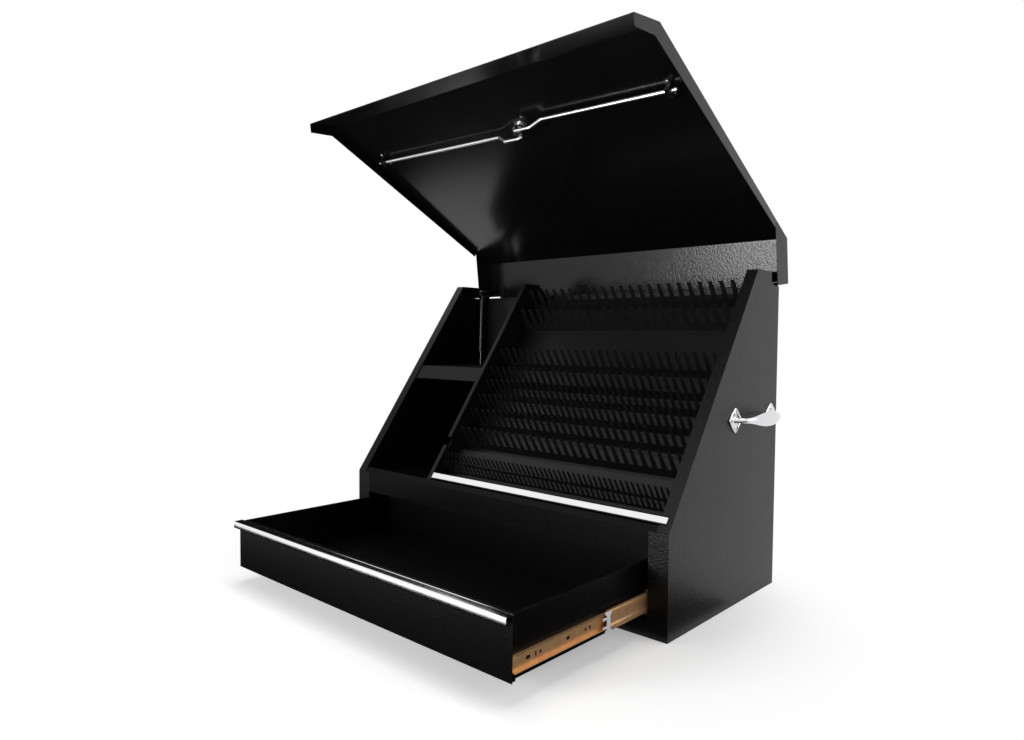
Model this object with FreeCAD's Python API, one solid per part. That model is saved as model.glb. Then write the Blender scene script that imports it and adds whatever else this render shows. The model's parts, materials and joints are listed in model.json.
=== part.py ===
import FreeCAD, Part
import math
import os

os.makedirs("parts", exist_ok=True)

# Triangle top toolbox, millimetres. +Z is up and the front faces -Y.
# The origin is the centre of the footprint on the floor.
# It is modelled as used: lid open and drawer pulled out.

# Overall size of the body
WIDTH = 914.0
DEPTH = 457.0
HEIGHT = 692.0
FRONT_HEIGHT = 197.0
TOP_DEPTH = 108.0
SHEET = 1.5

# Returns, notch and openings of the body
SLOPE_RETURN = 25.0
STILE_WIDTH = 42.0
NOTCH_DEPTH = 40.0
NOTCH_HEIGHT = 30.0
OPENING_BOTTOM = 31.0
OPENING_TOP = 147.0
DECK_HEIGHT = 190.0
LIP_LENGTH = 12.5
REAR_RETURN = 12.0
TAB_RISE = 8.0

# Left compartment
COMPARTMENT_WIDTH = 255.0
DIVIDER_FLANGE = 11.0
RELIEF_ABOVE = 12.0
RELIEF_BELOW = 3.0
RELIEF_CLEARANCE = 4.0
SHELF_HEIGHT = 468.0
SHELF_FRONT = 40.0
SHELF_SETBACK = 3.0
SHELF_HOLE = 16.0
SHELF_HOLES = 5
STRUT_NOTCH = 30.0

# Lid
LID_SHEET = 1.5
LID_GAP = 1.5
LID_OPEN_ANGLE = 83.0
LID_FRONT_GAP = 12.5
LID_LIP_BOTTOM = 104.0
LID_FLANGE_REAR = 17.0
LID_FLANGE_BEND = 30.0
LID_FLANGE_LIP = 21.0
CORNER_DEPTH = 58.0
CORNER_REACH = 67.0
LID_END_SETBACK = 11.5
LID_REAR_INSET = 30.0

# Continuous hinge
HINGE_DROP = 39.0
HINGE_OFFSET = 4.0
KNUCKLE_RADIUS = 3.5
HINGE_PIN_RADIUS = 1.5
HINGE_PIN_FIT = 0.05
HINGE_LEAF = 30.0
HINGE_KNUCKLES = 10
HINGE_INSET = 32.0
KNUCKLE_GAP = 0.4

# Latch in the lid
LATCH_FROM_FOOT = 114.0
LATCH_X = 50.0
LATCH_FLANGE_RADIUS = 23.0
BARREL_RADIUS = 11.0
BARREL_LENGTH = 13.0
BARREL_FIT = 0.3
SHAFT_RADIUS = 5.0
SHAFT_FIT = 0.06
CAM_EAR_MARGIN = 4.0
CAM_HUB_RADIUS = 14.0
CAM_SHEET = 3.0
CAM_LEVEL = 21.0
HOOK_OFFSET = 12.0
HOOK_EXCESS = 3.0
ROD_DIAMETER = 8.0
ROD_LEVEL = 12.5
ROD_UNDER_CAM = 1.5
ROD_STEP_START = 67.0
ROD_STEP_LENGTH = 24.0
ROD_STEP_BEND = 14.0
ROD_HOOK_BEND = 6.0
ROD_FIT = 0.08
TIP_CLEARANCE = 2.0
GUIDE_SETBACK = 16.0
GUIDE_WIDTH = 9.0
GUIDE_WALL = 3.0
GUIDE_SLACK = 3.4
GUIDE_RATTLE = 0.3
RING_RADIUS = 7.0
RING_SHEET = 1.4
TEE_LENGTH = 92.0

# Gas struts that hold the lid
STRUT_SIDE_GAP = 11.5
STRUT_TOP_FORWARD = 22.0
STRUT_TOP_RISE = 27.0
STRUT_FOOT_SETBACK = 23.5
STRUT_DROP = 223.0
STRUT_TUBE_RADIUS = 9.0
STRUT_TUBE_LENGTH = 165.0
STRUT_ROD_RADIUS = 4.0
STRUT_ROD_FIT = 0.05
STRUT_EYE_RADIUS = 8.0
STUD_RADIUS = 4.0
STUD_FIT = 0.05
BRACKET_SHEET = 3.0
BRACKET_GAP = 8.5
BRACKET_HALF = 12.0
BRACKET_FOOT = 18.0
STRUT_EYE_WIDTH = 10.0
FOOT_GAP = 0.6

# Tool rack
RACK_SETBACK = 75.0
RACK_FOOT_GAP = 15.7
RACK_CLEARANCE = 0.5
RACK_STRUT_GAP = 20.0
RACK_TOP_ROOM = 90.0
RACK_LOWER_LENGTH = 114.0
RACK_STEP_SETBACK = 48.0
TOOTH_SETBACK = 12.0
TOOTH_ANGLE = 57.0
TOOTH_BASE = 22.0
COMB_FOOT = 8.0
COMB_PLACES = (16.0, 80.0, 205.0, 262.0, 300.0, 345.0, 388.0, 440.0)
COMB_PITCHES = (26.0, 26.0, 22.0, 20.0, 18.0, 18.0, 20.0, 22.0)
COMB_DEPTH = 34.0
LOWER_COMBS = (77.0, 56.0)
LOWER_PITCH = 13.0
TRIM_HEIGHT = 15.0
TRIM_LEG = 8.0
TRIM_SIDE_GAP = 11.0
TRIM_CLEARANCE = 1.0

# Drawer
SLIDE_PLAY = 0.3
DRAWER_PULLED = 370.5
DRAWER_FACE = 15.0
FACE_OVERLAP = 3.5
DRAWER_BOTTOM = 38.0
FRONT_BOTTOM = 34.0
DRAWER_TOP = 136.0
DRAWER_LENGTH = 405.0
DRAWER_SHEET = 1.2
FRONT_THICKNESS = 12.0
PULL_REACH = 14.0
PULL_LIP = 15.5
PULL_WALL = 1.6

# Ball bearing slides
SLIDE_LENGTH = 400.0
SLIDE_WIDTH = 12.7
SLIDE_LEVEL = 62.0
SLIDE_SHEET = 1.2
SLIDE_FRONT = 3.0
OUTER_HEIGHT = 45.0
MIDDLE_HEIGHT = 36.0
INNER_HEIGHT = 26.5
MIDDLE_LENGTH = 370.0
MIDDLE_SETBACK = 19.0
MIDDLE_SHARE = 0.37
OUTER_SETBACK = 4.5
BALL_CLEARANCE = 0.05
MIDDLE_CAGE = 230.0
INNER_CAGE = 140.0
INNER_HOLES = (
    (36.0, 11.0, 6.0),
    (54.0, 4.0, 9.0),
    (65.0, 5.5, 6.5),
    (134.0, 9.0, 6.0),
    (181.0, 5.5, 6.5),
    (193.0, 5.5, 6.5),
)
CHANNEL_HEIGHT = 70.0

# Side handles
HANDLE_LENGTH = 225.0
HANDLE_MIDDLE = 108.0
HANDLE_LEVEL = 381.0
HANDLE_REACH = 42.0
HANDLE_FLANGE = 50.0
HANDLE_FLANGE_HEIGHT = 57.0
HANDLE_SCREW_RISE = 14.0
HANDLE_FLANGE_THICKNESS = 4.0
HANDLE_NECK = 5.5
HANDLE_GRIP_HALF = 13.0
HANDLE_GRIP_THICKNESS = 12.0
HANDLE_SQUARENESS = 2.4
HANDLE_SECTIONS = 9

# Derived places
HALF = WIDTH / 2.0
FRONT = -DEPTH / 2.0
REAR = DEPTH / 2.0
INNER_HALF = HALF - SHEET
SLOPE_TOP = (REAR - TOP_DEPTH, HEIGHT)
SLOPE_FOOT = (FRONT, FRONT_HEIGHT)
SLOPE_RUN = SLOPE_TOP[0] - SLOPE_FOOT[0]
SLOPE_RISE = SLOPE_TOP[1] - SLOPE_FOOT[1]
SLOPE_LENGTH = math.hypot(SLOPE_RUN, SLOPE_RISE)
SLOPE_ANGLE = math.degrees(math.atan2(SLOPE_RISE, SLOPE_RUN))
UP = (SLOPE_RUN / SLOPE_LENGTH, SLOPE_RISE / SLOPE_LENGTH)
OUT = (-UP[1], UP[0])
NOTCH_Y = REAR - NOTCH_DEPTH
NOTCH_Z = HEIGHT - NOTCH_HEIGHT
DIVIDER_X = -INNER_HALF + COMPARTMENT_WIDTH
OPENING_HALF = HALF - STILE_WIDTH
RACK_END = SLOPE_LENGTH - RACK_FOOT_GAP
RACK_STEP = RACK_END - RACK_LOWER_LENGTH
LATCH_PLACE = SLOPE_LENGTH - LATCH_FROM_FOOT
ROD_TIP = HALF - SLOPE_RETURN - TIP_CLEARANCE
GUIDE_PLACE = ROD_TIP - GUIDE_SETBACK
ROD_LOW = CAM_LEVEL + CAM_SHEET + ROD_UNDER_CAM + ROD_DIAMETER / 2
STRUT_PLACE = INNER_HALF - STRUT_SIDE_GAP
STRUT_FOOT_Y = REAR - STRUT_FOOT_SETBACK
RACK_TOP_END = STRUT_PLACE - RACK_STRUT_GAP
TRIM_END = HALF - TRIM_SIDE_GAP
DRAWER_HALF = OPENING_HALF - SLIDE_WIDTH - SLIDE_PLAY
DRAWER_FACE_HALF = DRAWER_HALF + FACE_OVERLAP
HINGE_Y = REAR + HINGE_OFFSET
HINGE_Z = HEIGHT - HINGE_DROP
STRUT_FOOT_Z = HINGE_Z - STRUT_DROP
LID_HALF = HALF + LID_GAP + LID_SHEET
LID_SKIN = LID_GAP + LID_SHEET
FACE_Y = FRONT + DRAWER_FACE - DRAWER_PULLED
MIDDLE_FRONT = FRONT + MIDDLE_SETBACK - DRAWER_PULLED * MIDDLE_SHARE
MIDDLE_WEB = OPENING_HALF - SLIDE_SHEET - 2.0
MIDDLE_LIP = DRAWER_HALF + 3.9
OUTER_LIP = DRAWER_HALF + 4.3
INNER_LIP = DRAWER_HALF + 7.5
CORNER_LEG_EDGE = LID_HALF - LID_SHEET - 24.0


# Points and solids
def on_slope(down, out=0.0):
    y = SLOPE_TOP[0] - UP[0] * down + OUT[0] * out
    z = SLOPE_TOP[1] - UP[1] * down + OUT[1] * out
    return (y, z)


def side_plate(points, x_start, x_end):
    corners = [FreeCAD.Vector(x_start, y, z) for y, z in points]
    face = Part.Face(Part.makePolygon(corners + corners[:1]))
    return face.extrude(FreeCAD.Vector(x_end - x_start, 0, 0))


def box(x0, x1, y0, y1, z0, z1):
    return Part.makeBox(x1 - x0, y1 - y0, z1 - z0, FreeCAD.Vector(x0, y0, z0))


def rod(start, end, radius):
    begin = FreeCAD.Vector(*start)
    along = FreeCAD.Vector(*end) - begin
    return Part.makeCylinder(radius, along.Length, begin, along)


def band(chain, thickness, x_start, x_end):
    inner = parallel(chain, thickness)
    return side_plate(list(chain) + inner[::-1], x_start, x_end)


def parallel(chain, distance):
    lines = []
    for first, second in zip(chain, chain[1:]):
        length = math.hypot(second[0] - first[0], second[1] - first[1])
        shift_y = -(second[1] - first[1]) / length * distance
        shift_z = (second[0] - first[0]) / length * distance
        lines.append(((first[0] + shift_y, first[1] + shift_z), (second[0] + shift_y, second[1] + shift_z)))
    points = [lines[0][0]]
    for one, two in zip(lines, lines[1:]):
        points.append(crossing(one, two))
    points.append(lines[-1][1])
    return points


def crossing(one, two):
    (ay, az), (by, bz) = one
    (cy, cz), (dy, dz) = two
    span = (by - ay) * (dz - cz) - (bz - az) * (dy - cy)
    share = ((cy - ay) * (dz - cz) - (cz - az) * (dy - cy)) / span
    return (ay + (by - ay) * share, az + (bz - az) * share)


def mirrored(shape):
    return shape.mirror(FreeCAD.Vector(0, 0, 0), FreeCAD.Vector(1, 0, 0))


def swung(shape, angle=-LID_OPEN_ANGLE):
    turned = shape.copy()
    turned.rotate(FreeCAD.Vector(0, HINGE_Y, HINGE_Z), FreeCAD.Vector(1, 0, 0), angle)
    return turned


def swung_point(y, z, angle=-LID_OPEN_ANGLE):
    turn = math.radians(angle)
    dy = y - HINGE_Y
    dz = z - HINGE_Z
    new_y = HINGE_Y + dy * math.cos(turn) - dz * math.sin(turn)
    new_z = HINGE_Z + dy * math.sin(turn) + dz * math.cos(turn)
    return (new_y, new_z)


def fused(shapes):
    whole = shapes[0]
    if len(shapes) > 1:
        whole = shapes[0].multiFuse(shapes[1:])
    return whole.removeSplitter()


def export(name, *shapes):
    solids = [solid for shape in shapes for solid in shape.Solids]
    whole = solids[0] if len(solids) == 1 else Part.makeCompound(solids)
    whole.exportStep("parts/" + name + ".step")


def export_pair(name, shape):
    export("right_" + name, shape)
    export("left_" + name, mirrored(shape))


# Folded side panel with returns along front, slope and top
def side_panel():
    outline = [
        (FRONT, 0.0),
        (REAR, 0.0),
        (REAR, NOTCH_Z),
        (NOTCH_Y, NOTCH_Z),
        (NOTCH_Y, HEIGHT),
        SLOPE_TOP,
        SLOPE_FOOT,
    ]
    skin = side_plate(outline, INNER_HALF, HALF)
    edge = [(NOTCH_Y, HEIGHT), SLOPE_TOP, SLOPE_FOOT]
    returns = band(edge, SHEET, HALF - SLOPE_RETURN, HALF)
    stile = box(OPENING_HALF, HALF, FRONT, FRONT + SHEET, 0.0, FRONT_HEIGHT - 1.0)
    stile_edge = box(OPENING_HALF, OPENING_HALF + SHEET, FRONT, FRONT + 12.0, OPENING_BOTTOM, OPENING_TOP)
    rear = box(HALF - REAR_RETURN, HALF, REAR - SHEET, REAR, 0.0, NOTCH_Z)
    notch_edge = box(HALF - SLOPE_RETURN, HALF, NOTCH_Y - SHEET, NOTCH_Y, NOTCH_Z, HEIGHT)
    return fused([skin, returns, stile, stile_edge, rear, notch_edge])


# Room for the end of the rack's bright strip
def trim_relief():
    top = RACK_END - TRIM_HEIGHT - SHEET - TRIM_CLEARANCE
    low = RACK_END + TRIM_CLEARANCE
    outline = [on_slope(top, 1.0), on_slope(low, 1.0), on_slope(low, -4.0), on_slope(top, -4.0)]
    return side_plate(outline, OPENING_HALF, TRIM_END + TRIM_CLEARANCE)


# Rear panel, between the side panels' rear returns
def rear_panel():
    skin = box(-INNER_HALF, INNER_HALF, REAR - 2 * SHEET, REAR - SHEET, SHEET, NOTCH_Z)
    stiffener = box(-RACK_TOP_END, RACK_TOP_END, REAR - 14.0, REAR - SHEET, NOTCH_Z - SHEET, NOTCH_Z)
    filler = box(-HALF + REAR_RETURN, HALF - REAR_RETURN, REAR - SHEET, REAR, SHEET, NOTCH_Z)
    tab_start = HALF - LID_REAR_INSET + LID_GAP
    tab = box(tab_start, INNER_HALF, REAR - 2 * SHEET, REAR - SHEET, NOTCH_Z - 1.0, NOTCH_Z + TAB_RISE)
    return fused([skin, filler, stiffener, tab, mirrored(tab)])


# Bottom pan with a folded front rail
def bottom_panel():
    floor = box(-INNER_HALF, INNER_HALF, FRONT + SHEET, REAR - 2 * SHEET, 0.0, SHEET)
    rail = box(-OPENING_HALF, OPENING_HALF, FRONT, FRONT + SHEET, 0.0, OPENING_BOTTOM)
    lip = box(-OPENING_HALF, OPENING_HALF, FRONT, FRONT + 14.0, OPENING_BOTTOM - SHEET, OPENING_BOTTOM)
    foot = box(-OPENING_HALF, OPENING_HALF, FRONT, FRONT + 4.0, 0.0, SHEET)
    return fused([floor, rail, lip, foot])


# Front rail over the drawer, with the sloped lip that the lid lies on
def front_rail():
    lip_top = on_slope(SLOPE_LENGTH - LIP_LENGTH)
    inward = (lip_top[0] - OUT[0] * 14.0, lip_top[1] - OUT[1] * 14.0)
    chain = [inward, lip_top, SLOPE_FOOT, (FRONT, OPENING_TOP), (FRONT + 14.0, OPENING_TOP)]
    whole = band(chain, SHEET, -OPENING_HALF, OPENING_HALF)
    slope_half = HALF - SLOPE_RETURN
    ends = band(chain[:3], SHEET, -slope_half, slope_half)
    return fused([whole, ends])


# Deck over the drawer bay
def deck_panel():
    front = FRONT + 2 * SHEET
    rear = REAR - 2 * SHEET
    return box(-INNER_HALF, INNER_HALF, front, rear, DECK_HEIGHT - SHEET, DECK_HEIGHT)


# Divider between the compartment and the rack, with its folded front edge
def divider():
    low = DECK_HEIGHT
    foot = SLOPE_LENGTH - LIP_LENGTH - 1.0
    toe = on_slope(foot, -16.0)
    outline = [
        (REAR - 2 * SHEET, low),
        (REAR - 2 * SHEET, NOTCH_Z - 2 * SHEET),
        (REAR - 16.0, NOTCH_Z - 2 * SHEET),
        (REAR - 16.0, NOTCH_Z + 6.0),
        (NOTCH_Y - 4.0, HEIGHT - SHEET),
        on_slope(0.0, -SHEET),
        on_slope(foot, -SHEET),
        toe,
        (toe[0], low),
    ]
    skin = side_plate(outline, DIVIDER_X, DIVIDER_X + SHEET)
    edge = [on_slope(2.0, -SHEET), on_slope(foot, -SHEET)]
    flange = band(edge, SHEET, DIVIDER_X, DIVIDER_X + DIVIDER_FLANGE)
    above = LATCH_PLACE - RELIEF_ABOVE - ROD_DIAMETER / 2
    below = LATCH_PLACE + RELIEF_BELOW + ROD_DIAMETER / 2
    depth = ROD_LEVEL - LID_SKIN + ROD_DIAMETER / 2 + RELIEF_CLEARANCE
    relief = [
        on_slope(above, 1.0),
        on_slope(below, 1.0),
        on_slope(below, -depth),
        on_slope(above, -depth),
    ]
    notch = side_plate(relief, DIVIDER_X - 1.0, DIVIDER_X + DIVIDER_FLANGE + 1.0)
    return fused([skin, flange]).cut(notch)


# Compartment shelf with a folded front and a row of holes for shanks
def compartment_shelf():
    down = (HEIGHT - SHELF_HEIGHT) / UP[1]
    front_top = on_slope(down, -SHELF_SETBACK)
    front_low = on_slope(down + SHELF_FRONT, -SHELF_SETBACK)
    chain = [(REAR - 2 * SHEET, front_top[1]), front_top, front_low]
    left = -INNER_HALF
    plate = band(chain, SHEET, left, DIVIDER_X)
    step = COMPARTMENT_WIDTH / (SHELF_HOLES + 1)
    for number in range(SHELF_HOLES):
        x = left + step * (number + 1)
        y = front_top[0] + 45.0
        hole = rod((x, y, front_top[1] - 20.0), (x, y, front_top[1] + 20.0), SHELF_HOLE / 2)
        plate = plate.cut(hole)
    foot = front_top[1]
    notch = box(left - 1.0, left + STRUT_NOTCH, STRUT_FOOT_Y - 20.0, REAR, foot - 10.0, foot + 10.0)
    return plate.cut(notch)


# Slanted back of the tool rack with its step, floor and front lip
def rack_back():
    right = INNER_HALF - RACK_CLEARANCE
    left = DIVIDER_X + SHEET + RACK_CLEARANCE
    step_end = RACK_STEP + 8.0
    floor = SLOPE_LENGTH - 48.0
    chain = [
        on_slope(4.0, -RACK_SETBACK - 12.0),
        on_slope(4.0, -RACK_SETBACK),
        on_slope(RACK_STEP, -RACK_SETBACK),
        on_slope(step_end, -RACK_STEP_SETBACK),
        on_slope(floor, -RACK_STEP_SETBACK),
        on_slope(RACK_END - 4.0, -2 * SHEET),
        on_slope(RACK_END - TRIM_HEIGHT, -2 * SHEET),
    ]
    whole = band(chain, SHEET, left, right)
    strut_room = box(RACK_TOP_END, right + 1.0, FRONT, REAR, HEIGHT - RACK_TOP_ROOM, HEIGHT)
    flange_room = side_plate([
        on_slope(RACK_END - TRIM_HEIGHT - 4.0, 1.0),
        on_slope(RACK_END + 8.0, 1.0),
        on_slope(RACK_END + 8.0, -2 * SHEET - 1.0),
        on_slope(RACK_END - TRIM_HEIGHT - 4.0, -2 * SHEET - 1.0),
    ], left - 1.0, DIVIDER_X + DIVIDER_FLANGE + RACK_CLEARANCE)
    return whole.cut(strut_room).cut(flange_room)


# Combs: their places along the slope and the pitch of their teeth
def comb_list():
    upper = [row for row in zip(COMB_PLACES, COMB_PITCHES) if row[0] + COMB_DEPTH < RACK_STEP]
    return upper + [(RACK_END - up, LOWER_PITCH) for up in LOWER_COMBS]


# One comb: a foot on the rack's back and a row of tapered teeth
def comb(place, pitch):
    left = DIVIDER_X + SHEET + RACK_CLEARANCE
    right = INNER_HALF - RACK_CLEARANCE if place > 40.0 else RACK_TOP_END
    setback = RACK_SETBACK if place < RACK_STEP else RACK_STEP_SETBACK
    base = TOOTH_BASE if place < RACK_STEP else TOOTH_BASE / 3
    lean = math.radians(TOOTH_ANGLE)
    out_share = -OUT[0] * math.cos(lean) + OUT[1] * math.sin(lean)
    reach = (setback - TOOTH_SETBACK) / out_share
    tip = on_slope(place, -TOOTH_SETBACK)
    root = (tip[0] + math.cos(lean) * reach, tip[1] - math.sin(lean) * reach)
    count = int((right - left - pitch / 2) // pitch)
    start = left + ((right - left) - (count - 0.5) * pitch) / 2
    points = [(left, 0.0), (right, 0.0), (right, base)]
    for number in reversed(range(count)):
        x = start + number * pitch
        points += [
            (x + pitch * 0.5, base),
            (x + pitch * 0.42, reach),
            (x + pitch * 0.08, reach),
            (x, base),
        ]
    points.append((left, base))
    corners = [FreeCAD.Vector(x, 0, v) for x, v in points]
    face = Part.Face(Part.makePolygon(corners + corners[:1]))
    plate = face.extrude(FreeCAD.Vector(0, -SHEET, 0))
    plate.rotate(FreeCAD.Vector(0, 0, 0), FreeCAD.Vector(1, 0, 0), 90.0 - TOOTH_ANGLE)
    plate.translate(FreeCAD.Vector(0, root[0], root[1]))
    foot = band([
        (root[0], root[1]),
        (root[0] - UP[0] * COMB_FOOT, root[1] - UP[1] * COMB_FOOT),
    ], -SHEET, left, right)
    return fused([plate, foot])


# Bright strip along the rack's lower edge
def rack_trim():
    left = DIVIDER_X + DIVIDER_FLANGE + 2.0
    top = RACK_END - TRIM_HEIGHT - SHEET
    chain = [on_slope(top, -TRIM_LEG), on_slope(top), on_slope(RACK_END)]
    return band(chain, SHEET, left, TRIM_END)


# Channel that carries a drawer slide
def slide_channel():
    outer = INNER_HALF
    inner = HALF - STILE_WIDTH
    low = SLIDE_LEVEL - CHANNEL_HEIGHT / 2
    high = SLIDE_LEVEL + CHANNEL_HEIGHT / 2
    front = FRONT + 14.0
    rear = REAR - 2 * SHEET
    web = box(inner, inner + SHEET, front, rear, low, high)
    top = box(inner, outer, front, rear, high - SHEET, high)
    base = box(inner, outer, front, rear, low, low + SHEET)
    return fused([web, top, base])


# Section of one slide member, drawn across the slide
def slide_section(x_web, x_lip, height, thickness):
    half = height / 2.0
    turn = 1.0 if x_lip > x_web else -1.0
    inner_web = x_web + turn * thickness
    points = [
        (x_web, -half),
        (x_lip, -half),
        (x_lip, -half + thickness),
        (inner_web, -half + thickness),
        (inner_web, half - thickness),
        (x_lip, half - thickness),
        (x_lip, half),
        (x_web, half),
    ]
    return points


def slide_member(x_web, x_lip, height, front, length):
    points = slide_section(x_web, x_lip, height, SLIDE_SHEET)
    corners = [FreeCAD.Vector(x, front, SLIDE_LEVEL + z) for x, z in points]
    face = Part.Face(Part.makePolygon(corners + corners[:1]))
    return face.extrude(FreeCAD.Vector(0, length, 0))


def outer_member():
    front = FRONT + OUTER_SETBACK
    return slide_member(OPENING_HALF, OUTER_LIP, OUTER_HEIGHT, front, SLIDE_LENGTH)


def middle_member():
    return slide_member(MIDDLE_WEB, MIDDLE_LIP, MIDDLE_HEIGHT, MIDDLE_FRONT, MIDDLE_LENGTH)


# Screw hole with round ends through a slide member
def oblong(x0, x1, y, length, height):
    radius = min(length, height) / 2
    along = length / 2 - radius
    up = height / 2 - radius
    ends = ((y - along, SLIDE_LEVEL - up), (y + along, SLIDE_LEVEL + up))
    holes = [rod((x0, *end), (x1, *end), radius) for end in ends]
    if along > 0.0:
        holes.append(box(x0, x1, y - along, y + along, SLIDE_LEVEL - radius, SLIDE_LEVEL + radius))
    if up > 0.0:
        holes.append(box(x0, x1, y - radius, y + radius, SLIDE_LEVEL - up, SLIDE_LEVEL + up))
    return fused(holes)


def inner_member():
    front = FACE_Y + SLIDE_FRONT
    member = slide_member(DRAWER_HALF, INNER_LIP, INNER_HEIGHT, front, SLIDE_LENGTH)
    for offset, length, height in INNER_HOLES:
        member = member.cut(oblong(DRAWER_HALF - 1.0, DRAWER_HALF + 2.0, front + offset, length, height))
    return member


# Ball rows between the slide members, above and below
def ball_row(x0, x1, inside_half, outside_half, front, length):
    rows = []
    low = inside_half + BALL_CLEARANCE
    high = outside_half - BALL_CLEARANCE
    for side in (-1.0, 1.0):
        z0 = SLIDE_LEVEL + side * low
        z1 = SLIDE_LEVEL + side * high
        rows.append(box(x0, x1, front, front + length, min(z0, z1), max(z0, z1)))
    return rows


def ball_cages():
    rear = MIDDLE_FRONT + MIDDLE_LENGTH
    outer_inside = OUTER_HEIGHT / 2 - SLIDE_SHEET
    middle_inside = MIDDLE_HEIGHT / 2 - SLIDE_SHEET
    outer_rows = ball_row(OUTER_LIP + 1.5, MIDDLE_WEB, MIDDLE_HEIGHT / 2, outer_inside,
                          rear - MIDDLE_CAGE - 8.0, MIDDLE_CAGE)
    inner_rows = ball_row(MIDDLE_LIP + 0.5, INNER_LIP, INNER_HEIGHT / 2, middle_inside,
                          MIDDLE_FRONT + 10.0, INNER_CAGE)
    return outer_rows + inner_rows


# Stop clip on the front end of the middle member
def slide_stop():
    front = MIDDLE_FRONT
    half = OUTER_HEIGHT / 2.0 - 2.0
    waist = half * 0.45
    outline = [
        (front - 12.0, -half),
        (front, -half),
        (front, half),
        (front - 12.0, half),
        (front - 12.0, half - 6.0),
        (front - 6.0, waist),
        (front - 6.0, -waist),
        (front - 12.0, -half + 6.0),
    ]
    points = [(y, SLIDE_LEVEL + z) for y, z in outline]
    return side_plate(points, INNER_LIP + 0.7, MIDDLE_WEB)


# Drawer: tray, front and pull
def drawer_box():
    y0 = FACE_Y + FRONT_THICKNESS
    y1 = FACE_Y + DRAWER_LENGTH
    t = DRAWER_SHEET
    whole = box(-DRAWER_HALF, DRAWER_HALF, y0, y1, DRAWER_BOTTOM, DRAWER_TOP)
    inside = box(-DRAWER_HALF + t, DRAWER_HALF - t, y0 + t, y1 - t, DRAWER_BOTTOM + t, DRAWER_TOP + 1.0)
    tray = whole.cut(inside)
    hems = []
    for side in (-1.0, 1.0):
        edge = side * DRAWER_HALF
        hems.append(box(min(edge, edge - side * 5.0), max(edge, edge - side * 5.0), y0, y1,
                        DRAWER_TOP - t, DRAWER_TOP))
    hems.append(box(-DRAWER_HALF, DRAWER_HALF, y1 - 5.0, y1, DRAWER_TOP - t, DRAWER_TOP))
    return fused([tray] + hems)


def drawer_front():
    t = DRAWER_SHEET
    y0 = FACE_Y
    y1 = FACE_Y + FRONT_THICKNESS
    face = box(-DRAWER_FACE_HALF, DRAWER_FACE_HALF, y0, y0 + t, FRONT_BOTTOM, DRAWER_TOP)
    whole = box(-DRAWER_HALF, DRAWER_HALF, y0, y1, FRONT_BOTTOM, DRAWER_TOP)
    inside = box(-DRAWER_HALF + t, DRAWER_HALF - t, y0 + t, y1 + 1.0, FRONT_BOTTOM + t, DRAWER_TOP - t)
    return fused([face, whole.cut(inside)])


def drawer_pull():
    top = DRAWER_TOP + PULL_WALL
    front = FACE_Y - PULL_REACH
    low = top - PULL_LIP
    chain = [
        (FACE_Y + FRONT_THICKNESS, top),
        (front, top),
        (front, low),
        (front + 6.0, low + 1.0),
        (front + 7.5, low + 5.0),
    ]
    return band(chain, PULL_WALL, -DRAWER_FACE_HALF, DRAWER_FACE_HALF)


# Lid: lip, slope panel, top panel and rear flange in one folded sheet
def lid_chain():
    rear = REAR + LID_SKIN
    low = HINGE_Z + KNUCKLE_RADIUS + 1.5
    top = HEIGHT + LID_SKIN
    front = FRONT - LID_FRONT_GAP - LID_SHEET
    slope = (on_slope(0.0, LID_SKIN), on_slope(SLOPE_LENGTH, LID_SKIN))
    bend = crossing(((REAR, top), (FRONT, top)), slope)
    lip = crossing(((front, 0.0), (front, HEIGHT)), slope)
    return [(rear, low), (rear, top), bend, lip, (front, LID_LIP_BOTTOM)]


def lid_split():
    bend = lid_chain()[2]
    return (bend[0] - UP[0] * CORNER_REACH, bend[1] - UP[1] * CORNER_REACH)


def lid_panel():
    chain = lid_chain()
    skin = band(chain, LID_SHEET, -LID_HALF + LID_SHEET, LID_HALF - LID_SHEET)
    split = lid_split()
    lip = chain[3]
    end = chain[4]
    inner_split = (split[0] - OUT[0] * LID_FLANGE_REAR, split[1] - OUT[1] * LID_FLANGE_REAR)
    near_lip = (lip[0] - OUT[0] * LID_FLANGE_BEND, lip[1] - OUT[1] * LID_FLANGE_BEND)
    lip_line = ((end[0] + LID_FLANGE_LIP, end[1]), (end[0] + LID_FLANGE_LIP + 4.0, lip[1]))
    bend_inner = crossing((inner_split, near_lip), lip_line)
    outline = [split, lip, end, lip_line[0], bend_inner, inner_split]
    right = side_plate(outline, LID_HALF - LID_SHEET, LID_HALF)
    hole = latch_frame(rod((0, 0, -20.0), (0, 0, 20.0), BARREL_RADIUS + BARREL_FIT))
    low = chain[0][1]
    rear, top = chain[1]
    inner = HALF - LID_REAR_INSET
    end = box(inner, LID_HALF, rear - LID_END_SETBACK, rear + 1.0, low - 1.0, top + 1.0)
    return fused([skin, right, mirrored(right)]).cut(hole).cut(end).cut(mirrored(end))


# Deep end plate at each end of the lid's top
def lid_corner():
    chain = lid_chain()
    rear = (chain[1][0] - LID_END_SETBACK, chain[1][1])
    split = lid_split()
    low = rear[1] - CORNER_DEPTH
    toe = split[0] + (split[1] - low) * -OUT[0] / OUT[1]
    outline = [rear, chain[2], split, (toe, low), (rear[0], low)]
    plate = side_plate(outline, LID_HALF - LID_SHEET, LID_HALF)
    under = rear[1] - LID_SHEET
    leg = box(CORNER_LEG_EDGE, LID_HALF, NOTCH_Y + LID_GAP, rear[0], under - LID_SHEET, under)
    return fused([plate, leg])


# Continuous hinge
def hinge_ranges(parity):
    start = -HALF + HINGE_INSET
    length = (WIDTH - 2 * HINGE_INSET) / HINGE_KNUCKLES
    ranges = []
    for number in range(HINGE_KNUCKLES):
        if number % 2 == parity:
            ranges.append((start + number * length, start + (number + 1) * length))
    return ranges


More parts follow.
